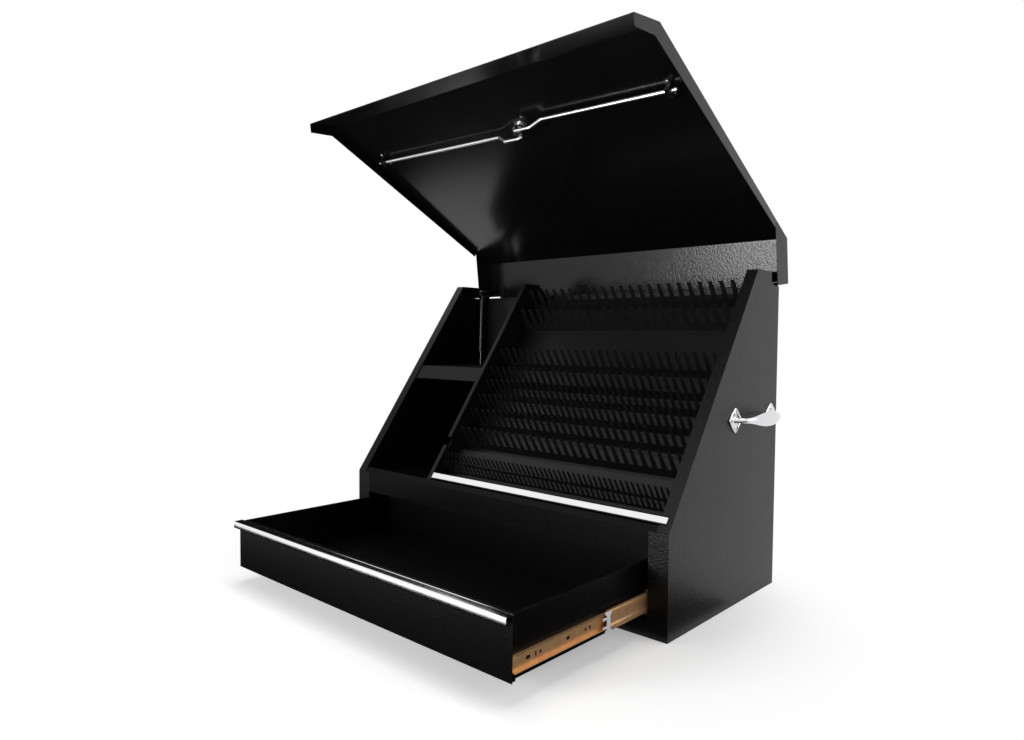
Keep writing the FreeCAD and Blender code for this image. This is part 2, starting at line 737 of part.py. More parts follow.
def on_hinge(x0, x1, radius):
    return rod((x0, HINGE_Y, HINGE_Z), (x1, HINGE_Y, HINGE_Z), radius)


def hinge_leaf(parity, plate):
    shape = plate
    gap = KNUCKLE_GAP
    for x0, x1 in hinge_ranges(1 - parity):
        shape = shape.cut(on_hinge(x0 - gap, x1 + gap, KNUCKLE_RADIUS + gap))
    knuckles = []
    for x0, x1 in hinge_ranges(parity):
        knuckles.append(on_hinge(x0 + gap / 2, x1 - gap / 2, KNUCKLE_RADIUS))
    whole = fused([shape] + knuckles)
    return whole.cut(on_hinge(-HALF, HALF, HINGE_PIN_RADIUS + HINGE_PIN_FIT))


def hinge_body_leaf():
    x0 = -HALF + HINGE_INSET
    plate = box(x0, -x0, REAR, REAR + SHEET, HINGE_Z - HINGE_LEAF, HINGE_Z)
    return hinge_leaf(0, plate)


def hinge_lid_leaf():
    x0 = -HALF + HINGE_INSET
    skin = REAR + LID_SKIN
    plate = box(x0, -x0, skin, skin + SHEET, HINGE_Z, HINGE_Z + HINGE_LEAF)
    return hinge_leaf(1, plate)


def hinge_pin():
    end = HALF - HINGE_INSET
    return on_hinge(-end, end, HINGE_PIN_RADIUS)


# Latch parts are drawn flat on the slope panel's outer face, then laid on it
def latch_frame(shape):
    laid = shape.copy()
    laid.rotate(FreeCAD.Vector(0, 0, 0), FreeCAD.Vector(1, 0, 0), SLOPE_ANGLE)
    origin = on_slope(LATCH_PLACE, LID_SKIN)
    laid.translate(FreeCAD.Vector(LATCH_X, origin[0], origin[1]))
    return laid


def latch_body():
    flange = Part.makeCylinder(LATCH_FLANGE_RADIUS, 3.0)
    flange = flange.makeChamfer(1.2, [edge for edge in flange.Edges if edge.BoundBox.ZMin > 2.9])
    barrel = rod((0, 0, -BARREL_LENGTH), (0, 0, 1.0), BARREL_RADIUS)
    bore = rod((0, 0, -BARREL_LENGTH - 1.0), (0, 0, 5.0), SHAFT_RADIUS + SHAFT_FIT)
    return flange.fuse(barrel).cut(bore).removeSplitter()


def latch_nut():
    points = []
    for number in range(7):
        turn = math.radians(60.0 * number)
        points.append(FreeCAD.Vector(17.0 * math.cos(turn), 17.0 * math.sin(turn), -LID_SHEET - 4.5))
    nut = Part.Face(Part.makePolygon(points)).extrude(FreeCAD.Vector(0, 0, 4.5))
    return nut.cut(rod((0, 0, -20.0), (0, 0, 20.0), BARREL_RADIUS))


def tee_handle():
    hub = rod((0, 0, 3.2), (0, 0, 17.0), 13.0)
    half = TEE_LENGTH / 2
    bar = box(-6.5, 6.5, -half, half, 14.0, 26.0)
    ends = [edge for edge in bar.Edges if edge.BoundBox.YLength < 1.0 and edge.BoundBox.XLength < 1.0]
    bar = bar.makeFillet(5.0, ends)
    shaft = rod((0, 0, -CAM_LEVEL - CAM_SHEET - 3.0), (0, 0, 4.0), SHAFT_RADIUS)
    return fused([hub, bar, shaft])


def lock_core():
    core = rod((0, 0, 26.2), (0, 0, 27.4), 6.0)
    keyway = box(-0.8, 0.8, -3.5, 3.5, 26.7, 28.0)
    return core.cut(keyway)


def latch_cam():
    top = -CAM_LEVEL
    low = top - CAM_SHEET
    ear = ROD_DIAMETER / 2 + CAM_EAR_MARGIN
    hub = rod((0, 0, low), (0, 0, top), CAM_HUB_RADIUS)
    neck = box(-ear, ear, -HOOK_OFFSET, HOOK_OFFSET, low, top)
    ears = [rod((0, y, low), (0, y, top), ear) for y in (-HOOK_OFFSET, HOOK_OFFSET)]
    plate = fused([hub, neck] + ears).cut(rod((0, 0, low - 1.0), (0, 0, top + 1.0), SHAFT_RADIUS))
    for y in (-HOOK_OFFSET, HOOK_OFFSET):
        plate = plate.cut(rod((0, y, low - 1.0), (0, y, top + 1.0), ROD_DIAMETER / 2 + ROD_FIT))
    return plate


def cam_nut():
    top = -CAM_LEVEL - CAM_SHEET
    ring = rod((0, 0, top - RING_SHEET), (0, 0, top), RING_RADIUS)
    return ring.cut(rod((0, 0, top - 10.0), (0, 0, top + 1.0), SHAFT_RADIUS))


# Round bar bent at each inner point
def bent_bar(points, radius, bends):
    places = [FreeCAD.Vector(*point) for point in points]
    edges = []
    start = places[0]
    for before, corner, after, bend in zip(places, places[1:], places[2:], bends):
        back = (before - corner).normalize()
        ahead = (after - corner).normalize()
        turn = back.getAngle(ahead)
        reach = bend / math.tan(turn / 2)
        middle = (back + ahead).normalize()
        summit = corner + middle * (bend / math.sin(turn / 2) - bend)
        first = corner + back * reach
        last = corner + ahead * reach
        edges.append(Part.makeLine(start, first))
        edges.append(Part.Arc(first, summit, last).toShape())
        start = last
    edges.append(Part.makeLine(start, places[-1]))
    path = Part.Wire(edges)
    circle = Part.Wire(Part.makeCircle(radius, places[0], places[1] - places[0]))
    return path.makePipeShell([circle], True, True)


# Latch rod: it leans from its guide to its pin in the cam, steps down and hooks up through it
def latch_rod(tip, guide):
    def beside(x):
        return -HOOK_OFFSET * (1.0 - x / guide)

    step_end = ROD_STEP_START - ROD_STEP_LENGTH
    points = [
        (tip, beside(tip), -ROD_LEVEL),
        (ROD_STEP_START, beside(ROD_STEP_START), -ROD_LEVEL),
        (step_end, beside(step_end), -ROD_LOW),
        (0.0, beside(0.0), -ROD_LOW),
        (0.0, beside(0.0), -CAM_LEVEL + HOOK_EXCESS),
    ]
    bends = (ROD_STEP_BEND, ROD_STEP_BEND, ROD_HOOK_BEND)
    return bent_bar(points, ROD_DIAMETER / 2, bends)


# Guide near the end of a latch rod, with an oblong hole because the rod swings a little
def rod_guide(place):
    x0 = place - GUIDE_WIDTH / 2
    x1 = place + GUIDE_WIDTH / 2
    side = ROD_DIAMETER / 2 + GUIDE_SLACK
    tall = ROD_DIAMETER / 2 + GUIDE_RATTLE
    block = box(x0, x1, -side - GUIDE_WALL, side + GUIDE_WALL, -ROD_LEVEL - tall - GUIDE_WALL, -LID_SHEET)
    foot = box(x0, x1, -side - 12.0, side + 12.0, -LID_SHEET - 2.0, -LID_SHEET)
    hole = box(x0 - 1.0, x1 + 1.0, -side + tall, side - tall, -ROD_LEVEL - tall, -ROD_LEVEL + tall)
    whole = fused([block, foot]).cut(hole)
    for y in (-side + tall, side - tall):
        whole = whole.cut(rod((x0 - 1.0, y, -ROD_LEVEL), (x1 + 1.0, y, -ROD_LEVEL), tall))
    return whole


def turned(shape):
    other = shape.copy()
    other.rotate(FreeCAD.Vector(0, 0, 0), FreeCAD.Vector(0, 0, 1), 180.0)
    return other


# Gas strut between the lid and the side panel, drawn at its place
def strut_top():
    return (HINGE_Y - STRUT_TOP_FORWARD, HINGE_Z + STRUT_TOP_RISE)


def strut_point(distance):
    top = strut_top()
    length = math.hypot(top[0] - STRUT_FOOT_Y, top[1] - STRUT_FOOT_Z)
    y = top[0] + (STRUT_FOOT_Y - top[0]) * distance / length
    z = top[1] + (STRUT_FOOT_Z - top[1]) * distance / length
    return (STRUT_PLACE, y, z)


def strut_length():
    top = strut_top()
    return math.hypot(top[0] - STRUT_FOOT_Y, top[1] - STRUT_FOOT_Z)


def strut_eye(place):
    x, y, z = place
    half = STRUT_EYE_WIDTH / 2
    return rod((x - half, y, z), (x + half, y, z), STRUT_EYE_RADIUS)


def strut_tube():
    start = STRUT_EYE_RADIUS + 4.0
    end = start + STRUT_TUBE_LENGTH
    neck = rod(strut_point(2.0), strut_point(start + 1.0), 5.0)
    tube = rod(strut_point(start), strut_point(end), STRUT_TUBE_RADIUS)
    bore = rod(strut_point(start + 6.0), strut_point(end + 1.0), STRUT_ROD_RADIUS + STRUT_ROD_FIT)
    x, y, z = strut_point(0.0)
    hole = rod((x - 9.0, y, z), (x + 9.0, y, z), STUD_RADIUS + STUD_FIT)
    return fused([strut_eye(strut_point(0.0)), neck, tube]).cut(bore).cut(hole)


def strut_rod():
    length = strut_length()
    start = STRUT_EYE_RADIUS + 4.0 + STRUT_TUBE_LENGTH - 60.0
    shaft = rod(strut_point(start), strut_point(length - 4.0), STRUT_ROD_RADIUS)
    neck = rod(strut_point(length - 22.0), strut_point(length - 4.0), 4.6)
    return fused([shaft, neck, strut_eye(strut_point(length))])


# Lid bracket: plate standing from the lid's top, with the stud for the strut
def lid_bracket():
    y, z = swung_point(*strut_top(), angle=LID_OPEN_ANGLE)
    under = HEIGHT + LID_GAP
    x1 = STRUT_PLACE - STRUT_EYE_WIDTH / 2 - BRACKET_GAP
    x0 = x1 - BRACKET_SHEET
    front = y - BRACKET_HALF
    rear = y + BRACKET_HALF
    leg = side_plate([(front, under), (rear, under), (y + 8.0, z - 9.0), (y - 8.0, z - 9.0)], x0, x1)
    foot = box(x0 - BRACKET_FOOT, x1, front, rear, under - LID_SHEET, under)
    stud = rod((x0, y, z), (STRUT_PLACE + STRUT_EYE_WIDTH / 2, y, z), STUD_RADIUS)
    collar = rod((x0, y, z), (STRUT_PLACE - STRUT_EYE_WIDTH / 2 - 0.5, y, z), 6.5)
    head = rod((x0 - 5.0, y, z), (x0, y, z), 6.5)
    return fused([leg, foot, stud, collar, head])


# Stud on the side panel for the strut's foot
def foot_stud():
    y = STRUT_FOOT_Y
    z = STRUT_FOOT_Z
    base = box(INNER_HALF - BRACKET_SHEET, INNER_HALF, y - 18.0, y + 16.0, z - 18.0, z + 18.0)
    stud = rod((STRUT_PLACE + STRUT_EYE_WIDTH / 2 + FOOT_GAP, y, z), (INNER_HALF - 1.0, y, z), 6.0)
    return fused([base, stud])


# Cast side handle with two diamond flanges
def diamond(y, x0, x1):
    half = HANDLE_FLANGE / 2
    tall = HANDLE_FLANGE_HEIGHT / 2
    outline = [
        (y - half, HANDLE_LEVEL),
        (y, HANDLE_LEVEL - tall),
        (y + half, HANDLE_LEVEL),
        (y, HANDLE_LEVEL + tall),
    ]
    plate = side_plate(outline, x0, x1)
    corners = [edge for edge in plate.Edges if edge.BoundBox.YLength < 0.1]
    return plate.makeFillet(5.0, corners)


def handle_ends():
    reach = HANDLE_LENGTH / 2 - HANDLE_FLANGE / 2
    return (HANDLE_MIDDLE - reach, HANDLE_MIDDLE + reach)


# Grip: oval sections along a squared arch, thick in the middle and slim at both necks
def grip_place(turn):
    front, rear = handle_ends()
    power = 2.0 / HANDLE_SQUARENESS
    across = math.copysign(abs(math.cos(turn)) ** power, math.cos(turn))
    out = abs(math.sin(turn)) ** power
    reach = HANDLE_REACH - HANDLE_GRIP_THICKNESS / 2 - 1.0
    return (HALF + 1.0 + reach * out, (front + rear) / 2 - (rear - front) / 2 * across)


def grip_section(turn):
    x, y = grip_place(turn)
    before = grip_place(max(0.0, turn - 0.01))
    after = grip_place(min(math.pi, turn + 0.01))
    length = math.hypot(after[0] - before[0], after[1] - before[1])
    side_x = -(after[1] - before[1]) / length
    side_y = (after[0] - before[0]) / length
    swell = math.sin(turn) ** 3
    tall = HANDLE_NECK + (HANDLE_GRIP_HALF - HANDLE_NECK) * swell
    thick = HANDLE_NECK + (HANDLE_GRIP_THICKNESS / 2 - HANDLE_NECK) * swell
    ring = []
    for number in range(12):
        angle = 2.0 * math.pi * number / 12
        offset = thick * math.cos(angle)
        level = HANDLE_LEVEL + tall * math.sin(angle)
        ring.append(FreeCAD.Vector(x + side_x * offset, y + side_y * offset, level))
    curve = Part.BSplineCurve()
    curve.interpolate(ring, PeriodicFlag=True)
    return Part.Wire(curve.toShape())


def side_handle():
    flanges = [diamond(y, HALF, HALF + HANDLE_FLANGE_THICKNESS) for y in handle_ends()]
    turns = [math.pi * number / (HANDLE_SECTIONS - 1) for number in range(HANDLE_SECTIONS)]
    grip = Part.makeLoft([grip_section(turn) for turn in turns], True, False)
    return fused(flanges + [grip])


def handle_screws():
    heads = []
    for y in handle_ends():
        for side in (-1.0, 1.0):
            z = HANDLE_LEVEL + side * HANDLE_SCREW_RISE
            outer = HALF + HANDLE_FLANGE_THICKNESS
            heads.append(rod((outer, y, z), (outer + 2.2, y, z), 4.0))
    return heads


def build():
    panel = side_panel()
    export("right_side_panel", panel.cut(trim_relief()))
    export("left_side_panel", mirrored(panel))
    export("rear_panel", rear_panel())
    export("bottom_panel", bottom_panel())
    export("front_rail", front_rail())
    export("deck_panel", deck_panel())
    export("divider", divider())
    export("compartment_shelf", compartment_shelf())
    export("rack_back", rack_back())
    for number, (place, pitch) in enumerate(comb_list()):
        export("rack_comb_" + str(number + 1), comb(place, pitch))
    export("rack_trim", rack_trim())
    export_pair("slide_channel", slide_channel())
    export_pair("slide_outer", outer_member())
    export_pair("slide_middle", middle_member())
    export_pair("slide_inner", inner_member())
    export_pair("slide_stop", slide_stop())
    export("right_ball_cages", *ball_cages())
    export("left_ball_cages", *[mirrored(row) for row in ball_cages()])
    export("drawer_box", drawer_box())
    export("drawer_front", drawer_front())
    export("drawer_pull", drawer_pull())
    export("lid_panel", swung(lid_panel()))
    export_pair("lid_corner", swung(lid_corner()))
    export("hinge_body_leaf", hinge_body_leaf())
    export("hinge_lid_leaf", swung(hinge_lid_leaf()))
    export("hinge_pin", hinge_pin())
    export_latch()
    export_pair("strut_tube", strut_tube())
    export_pair("strut_rod", strut_rod())
    bracket = swung(lid_bracket())
    export("lid_brackets", bracket, mirrored(bracket))
    export("strut_foot_studs", foot_stud(), mirrored(foot_stud()))
    export_pair("side_handle", side_handle())
    screws = handle_screws()
    export("handle_screws", *screws, *[mirrored(screw) for screw in screws])


def export_latch():
    pieces = {
        "latch_body": latch_body(),
        "latch_nut": latch_nut(),
        "tee_handle": tee_handle(),
        "lock_core": lock_core(),
        "latch_cam": latch_cam(),
        "cam_nut": cam_nut(),
        "right_latch_rod": latch_rod(ROD_TIP - LATCH_X, GUIDE_PLACE - LATCH_X),
        "left_latch_rod": turned(latch_rod(ROD_TIP + LATCH_X, GUIDE_PLACE + LATCH_X)),
    }
    for name, shape in pieces.items():
        export(name, swung(latch_frame(shape)))
    guides = [rod_guide(GUIDE_PLACE - LATCH_X), turned(rod_guide(GUIDE_PLACE + LATCH_X))]
    export("rod_guides", *[swung(latch_frame(guide)) for guide in guides])


build()
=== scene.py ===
import json
import math

import bmesh
import bpy
from mathutils import Matrix, Vector


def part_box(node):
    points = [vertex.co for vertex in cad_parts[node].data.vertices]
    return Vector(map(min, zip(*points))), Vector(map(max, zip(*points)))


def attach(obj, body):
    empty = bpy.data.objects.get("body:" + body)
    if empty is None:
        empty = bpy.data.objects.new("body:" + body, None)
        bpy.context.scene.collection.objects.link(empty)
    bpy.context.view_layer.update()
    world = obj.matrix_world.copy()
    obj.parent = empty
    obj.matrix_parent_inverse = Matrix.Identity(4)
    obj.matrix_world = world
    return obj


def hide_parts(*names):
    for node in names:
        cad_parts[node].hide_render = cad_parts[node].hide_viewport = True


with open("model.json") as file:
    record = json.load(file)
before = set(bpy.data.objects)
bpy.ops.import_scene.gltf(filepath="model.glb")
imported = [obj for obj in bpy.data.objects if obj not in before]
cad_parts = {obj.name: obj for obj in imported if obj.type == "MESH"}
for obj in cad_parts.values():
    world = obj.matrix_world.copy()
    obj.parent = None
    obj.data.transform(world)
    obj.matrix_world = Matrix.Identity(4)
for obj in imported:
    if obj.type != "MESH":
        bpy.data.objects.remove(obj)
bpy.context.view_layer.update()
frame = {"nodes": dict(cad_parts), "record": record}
nodes = frame["nodes"]
joints = {joint["name"]: joint for joint in frame["record"]["behaviour"]["joints"]}
scene = bpy.context.scene
SIDES = (("right", 1.0), ("left", -1.0))

# Cabinet sheets: two side panels, rear, bottom pan, front rail and deck.
# Folded steel, spot welded together, under a fine textured black powder coat.
# The coat's grain breaks up its reflections; on the folds it is lighter, partly rubbed thin by handling and
# partly a painted highlight.
CABINET_SHEETS = ("right_side_panel", "left_side_panel", "rear_panel", "bottom_panel")
SHADED_SHEETS = ("front_rail", "deck_panel")
COAT_BLACK = (0.0020, 0.0020, 0.0023)
# Lighter grey for folds and edges: partly rubbed coat, partly a painted highlight
COAT_RUBBED_AND_LIT = (0.036, 0.036, 0.038)


def shader_group(name, numbers, outputs):
    tree = bpy.data.node_groups.new(name, "ShaderNodeTree")
    for label, default in numbers:
        socket = tree.interface.new_socket(label, in_out="INPUT", socket_type="NodeSocketFloat")
        socket.default_value = default
    for label, kind in outputs:
        tree.interface.new_socket(label, in_out="OUTPUT", socket_type="NodeSocket" + kind)
    return tree, tree.nodes.new("NodeGroupInput"), tree.nodes.new("NodeGroupOutput")


# A term is a number, which the socket keeps, or another node's output, which it is linked to
def feed(tree, term, socket):
    if isinstance(term, (int, float)):
        socket.default_value = term
    else:
        tree.links.new(term, socket)


def object_place(tree):
    return tree.nodes.new("ShaderNodeTexCoord").outputs["Object"]


def noise_node(tree, place, detail, scale):
    noise = tree.nodes.new("ShaderNodeTexNoise")
    noise.inputs["Detail"].default_value = detail
    feed(tree, scale, noise.inputs["Scale"])
    tree.links.new(place, noise.inputs["Vector"])
    return noise.outputs["Fac"]


def math_node(tree, operation, *terms):
    node = tree.nodes.new("ShaderNodeMath")
    node.operation = operation
    for socket, term in zip(node.inputs, terms):
        feed(tree, term, socket)
    return node.outputs["Value"]


def range_node(tree, value, low, high):
    node = tree.nodes.new("ShaderNodeMapRange")
    node.inputs["From Min"].default_value = low
    node.inputs["From Max"].default_value = high
    tree.links.new(value, node.inputs["Value"])
    return node


def bump_node(tree, height, strength, distance):
    bump = tree.nodes.new("ShaderNodeBump")
    bump.inputs["Distance"].default_value = distance
    feed(tree, strength, bump.inputs["Strength"])
    tree.links.new(height, bump.inputs["Height"])
    return bump.outputs["Normal"]


# A level that swings with a noise, by the given amount from lowest to highest
def swung(tree, noise, amount, level):
    centred = math_node(tree, "SUBTRACT", noise, 0.5)
    swing = math_node(tree, "MULTIPLY", centred, amount)
    return math_node(tree, "ADD", swing, level)


# Grain: a fine orange peel for the normal, and a slow drift of the gloss
GRAIN_HEIGHT = 0.0022
DRIFTS_PER_METRE = 7.0


def coat_grain_group():
    numbers = (
        ("Grains per Metre", 300.0),
        ("Grain Depth", 0.3),
        ("Grain Gloss", 0.25),
        ("Gloss Drift", 0.06),
        ("Roughness", 0.4),
    )
    outputs = (("Normal", "Vector"), ("Roughness", "Float"))
    tree, source, sink = shader_group("coat_grain", numbers, outputs)
    place = object_place(tree)
    grain = noise_node(tree, place, 2.5, source.outputs["Grains per Metre"])
    normal = bump_node(tree, grain, source.outputs["Grain Depth"], GRAIN_HEIGHT)
    drift = noise_node(tree, place, 3.0, DRIFTS_PER_METRE)
    rough = swung(tree, drift, source.outputs["Gloss Drift"], source.outputs["Roughness"])
    rough = swung(tree, grain, source.outputs["Grain Gloss"], rough)
    tree.links.new(normal, sink.inputs["Normal"])
    tree.links.new(rough, sink.inputs["Roughness"])
    return tree


# Edge mask: high on folds and edges, broken up by a coarse noise; it marks rubbed coat and also a painted
# highlight where folds catch light
EDGE_PATCHES_PER_METRE = 38.0
EDGE_PATCH_LEVELS = (0.42, 0.68)
EDGE_GAIN = 6.0


def edge_rub_and_highlight_group():
    numbers = (("Reach", 0.0012), ("Amount", 0.5))
    tree, source, sink = shader_group("edge_rub_and_highlight", numbers, (("Mask", "Float"),))
    rounded = tree.nodes.new("ShaderNodeBevel")
    rounded.samples = 4
    tree.links.new(source.outputs["Reach"], rounded.inputs["Radius"])
    flat = tree.nodes.new("ShaderNodeNewGeometry")
    match = tree.nodes.new("ShaderNodeVectorMath")
    match.operation = "DOT_PRODUCT"
    tree.links.new(rounded.outputs["Normal"], match.inputs[0])
    tree.links.new(flat.outputs["Normal"], match.inputs[1])
    bend = math_node(tree, "SUBTRACT", 1.0, match.outputs["Value"])
    patches = noise_node(tree, object_place(tree), 4.0, EDGE_PATCHES_PER_METRE)
    sharp = range_node(tree, patches, *EDGE_PATCH_LEVELS)
    broken = math_node(tree, "MULTIPLY", bend, sharp.outputs["Result"])
    strong = math_node(tree, "MULTIPLY", broken, EDGE_GAIN)
    mask = math_node(tree, "MULTIPLY", strong, source.outputs["Amount"])
    limit = math_node(tree, "MINIMUM", mask, 1.0)
    tree.links.new(limit, sink.inputs["Mask"])
    return tree


# Tone: a slow cloud between two nearly equal shades, so no large sheet is one flat colour
def tone_cloud_group():
    tree, source, sink = shader_group("tone_cloud", (("Clouds per Metre", 5.0),), (("Mask", "Float"),))
    cloud = noise_node(tree, object_place(tree), 5.0, source.outputs["Clouds per Metre"])
    tree.links.new(cloud, sink.inputs["Mask"])
    return tree


coat_grain = coat_grain_group()
edge_rub_and_highlight = edge_rub_and_highlight_group()
tone_cloud = tone_cloud_group()


def placed(tree, group, **values):
    node = tree.nodes.new("ShaderNodeGroup")
    node.node_tree = group
    for label, value in values.items():
        node.inputs[label.replace("_", " ")].default_value = value
    return node


def blend_colours(tree, mask, first, second):
    mix = tree.nodes.new("ShaderNodeMix")
    mix.data_type = "RGBA"
    tree.links.new(mask, mix.inputs["Factor"])
    for label, term in (("A", first), ("B", second)):
        socket = [entry for entry in mix.inputs if entry.name == label and entry.type == "RGBA"][0]
        if isinstance(term, tuple):
            socket.default_value = (*term, 1.0)
        else:
            tree.links.new(term, socket)
    return [entry for entry in mix.outputs if entry.type == "RGBA"][0]


def scaled(colour, factor):
    return tuple(min(1.0, channel * factor) for channel in colour)


def new_material(name):
    material = bpy.data.materials.new(name)
    material.use_nodes = True
    return material, material.node_tree, material.node_tree.nodes["Principled BSDF"]


def black_coat(name, roughness, grain_depth, specular, rub_and_highlight=0.5, grains=300.0, drift=0.06):
    material, tree, shader = new_material(name)
    shader.inputs["Specular IOR Level"].default_value = specular
    cloud = placed(tree, tone_cloud)
    ground = blend_colours(tree, cloud.outputs["Mask"], COAT_BLACK, scaled(COAT_BLACK, 1.35))
    # Folds and edges turn lighter: partly rubbed coat, partly a painted highlight
    rubbed_and_lit_edges = placed(tree, edge_rub_and_highlight, Amount=rub_and_highlight)
    colour = blend_colours(tree, rubbed_and_lit_edges.outputs["Mask"], ground, COAT_RUBBED_AND_LIT)
    grain = placed(tree, coat_grain, Grain_Depth=grain_depth, Gloss_Drift=drift, Roughness=roughness)
    grain.inputs["Grains per Metre"].default_value = grains
    tree.links.new(colour, shader.inputs["Base Color"])
    tree.links.new(grain.outputs["Roughness"], shader.inputs["Roughness"])
    tree.links.new(grain.outputs["Normal"], shader.inputs["Normal"])
    return material


def finish(names, material):
    for name in names:
        slots = nodes[name].data.materials
        slots.clear()
        slots.append(material)


textured_coat = black_coat("textured_coat", roughness=0.36, grain_depth=0.36, specular=0.23, grains=330.0)
finish(CABINET_SHEETS, textured_coat)
flat_coat = black_coat("flat_coat", roughness=0.34, grain_depth=0.12, specular=0.085)
finish(SHADED_SHEETS, flat_coat)

# Compartment: the divider beside the rack and the shelf with its row of five holes.
# Folded sheet in the same powder, a little duller where things have been laid on it.
dull_coat = black_coat("dull_coat", roughness=0.46, grain_depth=0.3, specular=0.22)
finish(("divider", "compartment_shelf"), dull_coat)

# Rack: a slanted back with a step, and ten combs that are tabbed and welded to it.
# The combs are laser cut; the edges of their teeth are lighter, partly rubbed coat and partly a painted
# highlight.
comb_coat = black_coat("comb_coat", roughness=0.4, grain_depth=0.2, specular=0.3, rub_and_highlight=0.8)
finish(["rack_back"] + ["rack_comb_%d" % number for number in range(1, 11)], comb_coat)

# Bright metal: the strip along the rack's foot and the pull across the drawer's front.
# Both are aluminium extrusions, brushed along their length; their shapes follow further down.
ALUMINIUM = (0.90, 0.90, 0.90)
METAL_EDGE_REACH = 0.0006


# Brushing: fine lines along X, as a height and as streaks in the gloss
LINE_STRETCH = 0.012
LINE_HEIGHT = 0.0002
LINE_GLOSS = 0.12


def brushed_group():
    numbers = (("Lines per Metre", 1400.0), ("Line Depth", 0.15), ("Roughness", 0.24))
    outputs = (("Normal", "Vector"), ("Roughness", "Float"))
    tree, source, sink = shader_group("brushed_lines", numbers, outputs)
    stretch = tree.nodes.new("ShaderNodeMapping")
    stretch.inputs["Scale"].default_value = (LINE_STRETCH, 1.0, 1.0)
    tree.links.new(object_place(tree), stretch.inputs["Vector"])
    lines = noise_node(tree, stretch.outputs["Vector"], 3.0, source.outputs["Lines per Metre"])
    normal = bump_node(tree, lines, source.outputs["Line Depth"], LINE_HEIGHT)
    rough = swung(tree, lines, LINE_GLOSS, source.outputs["Roughness"])
    tree.links.new(normal, sink.inputs["Normal"])
    tree.links.new(rough, sink.inputs["Roughness"])
    return tree


brushed_lines = brushed_group()


def brushed_metal(name, colour, roughness):
    material, tree, shader = new_material(name)
    shader.inputs["Metallic"].default_value = 1.0
    cloud = placed(tree, tone_cloud, Clouds_per_Metre=9.0)
    ground = blend_colours(tree, cloud.outputs["Mask"], colour, scaled(colour, 0.93))
    # Edges turn lighter: partly rubbed metal, partly a painted highlight
    rubbed_and_lit_edges = placed(tree, edge_rub_and_highlight, Reach=METAL_EDGE_REACH, Amount=0.6)
    tone = blend_colours(tree, rubbed_and_lit_edges.outputs["Mask"], ground, scaled(colour, 1.08))
    lines = placed(tree, brushed_lines, Roughness=roughness)
    tree.links.new(tone, shader.inputs["Base Color"])
    tree.links.new(lines.outputs["Roughness"], shader.inputs["Roughness"])
    tree.links.new(lines.outputs["Normal"], shader.inputs["Normal"])
    return material


brushed_aluminium = brushed_metal("brushed_aluminium", ALUMINIUM, roughness=0.13)

# Drawer slides: three rolled steel members a side, in channels between stile and rear.
# They are zinc plated and passivated, which leaves the gold tint; the stop clip stays bright.
SLIDE_GOLD = (0.84, 0.54, 0.27)
SLIDE_PINK = (0.78, 0.43, 0.21)
CLIP_STEEL = (0.86, 0.86, 0.88)
NUT_STEEL = (0.30, 0.29, 0.28)


# Passivation: cloudy patches of another tint, which are also duller or brighter
PATCH_LEVELS = (0.35, 0.65)
PATCH_GLOSS = 0.2


def passivated_group():
    numbers = (("Patches per Metre", 55.0), ("Roughness", 0.2))
    tree, source, sink = shader_group("passivated", numbers, (("Mask", "Float"), ("Roughness", "Float")))
    patches = noise_node(tree, object_place(tree), 5.0, source.outputs["Patches per Metre"])
    spread = range_node(tree, patches, *PATCH_LEVELS)
    rough = swung(tree, patches, PATCH_GLOSS, source.outputs["Roughness"])
    tree.links.new(spread.outputs["Result"], sink.inputs["Mask"])
    tree.links.new(rough, sink.inputs["Roughness"])
    return tree


passivated = passivated_group()


def plated_steel(name, first, second, roughness, metal=1.0):
    material, tree, shader = new_material(name)
    shader.inputs["Metallic"].default_value = metal
    film = placed(tree, passivated, Roughness=roughness)
    tint = blend_colours(tree, film.outputs["Mask"], first, second)
    # Edges turn lighter: partly rubbed plating, partly a painted highlight
    rubbed_and_lit_edges = placed(tree, edge_rub_and_highlight, Reach=METAL_EDGE_REACH, Amount=0.8)
    tone = blend_colours(tree, rubbed_and_lit_edges.outputs["Mask"], tint, scaled(first, 1.2))
    tree.links.new(tone, shader.inputs["Base Color"])
    tree.links.new(film.outputs["Roughness"], shader.inputs["Roughness"])
    return material


gold_zinc = plated_steel("gold_zinc", SLIDE_GOLD, SLIDE_PINK, roughness=0.34, metal=0.6)
clip_steel = plated_steel("clip_steel", CLIP_STEEL, (0.80, 0.81, 0.84), roughness=0.22)
nut_steel = plated_steel("nut_steel", NUT_STEEL, (0.22, 0.21, 0.20), roughness=0.34)
for side in ("right", "left"):
    finish((side + "_slide_outer", side + "_slide_inner"), gold_zinc)
    finish((side + "_slide_channel",), textured_coat)

# Ball rows: hardened balls in pressed steel retainers, two rows on each face of the middle member.
# They roll between the slide's lips and travel with the middle member.
BALL_PITCH = 0.0062
BALL_RADIUS = 0.00155
RETAINER_SHEET = 0.0006
RETAINER_INSET = 0.0003
RETAINER_END = 0.004
SLIDE_WALL = 0.0012
OUTER_LIP_CLEAR = 0.0015
OUTER_ROW_LENGTH = 0.230
OUTER_ROW_SETBACK = 0.008
INNER_LIP_CLEAR = 0.0005
INNER_ROW_LENGTH = 0.140
INNER_ROW_SETBACK = 0.010


def geometry_tree(name, inputs):
    tree = bpy.data.node_groups.new(name, "GeometryNodeTree")
    tree.interface.new_socket("Geometry", in_out="INPUT", socket_type="NodeSocketGeometry")
    for label, kind, value in inputs:
        socket = tree.interface.new_socket(label, in_out="INPUT", socket_type="NodeSocket" + kind)
        if value is not None:
            socket.default_value = value
    tree.interface.new_socket("Geometry", in_out="OUTPUT", socket_type="NodeSocketGeometry")
    return tree, tree.nodes.new("NodeGroupInput"), tree.nodes.new("NodeGroupOutput")


def set_input(modifier, label, value):
    for entry in modifier.node_group.interface.items_tree:
        if entry.item_type == "SOCKET" and entry.in_out == "INPUT" and entry.name == label:
            modifier[entry.identifier] = value


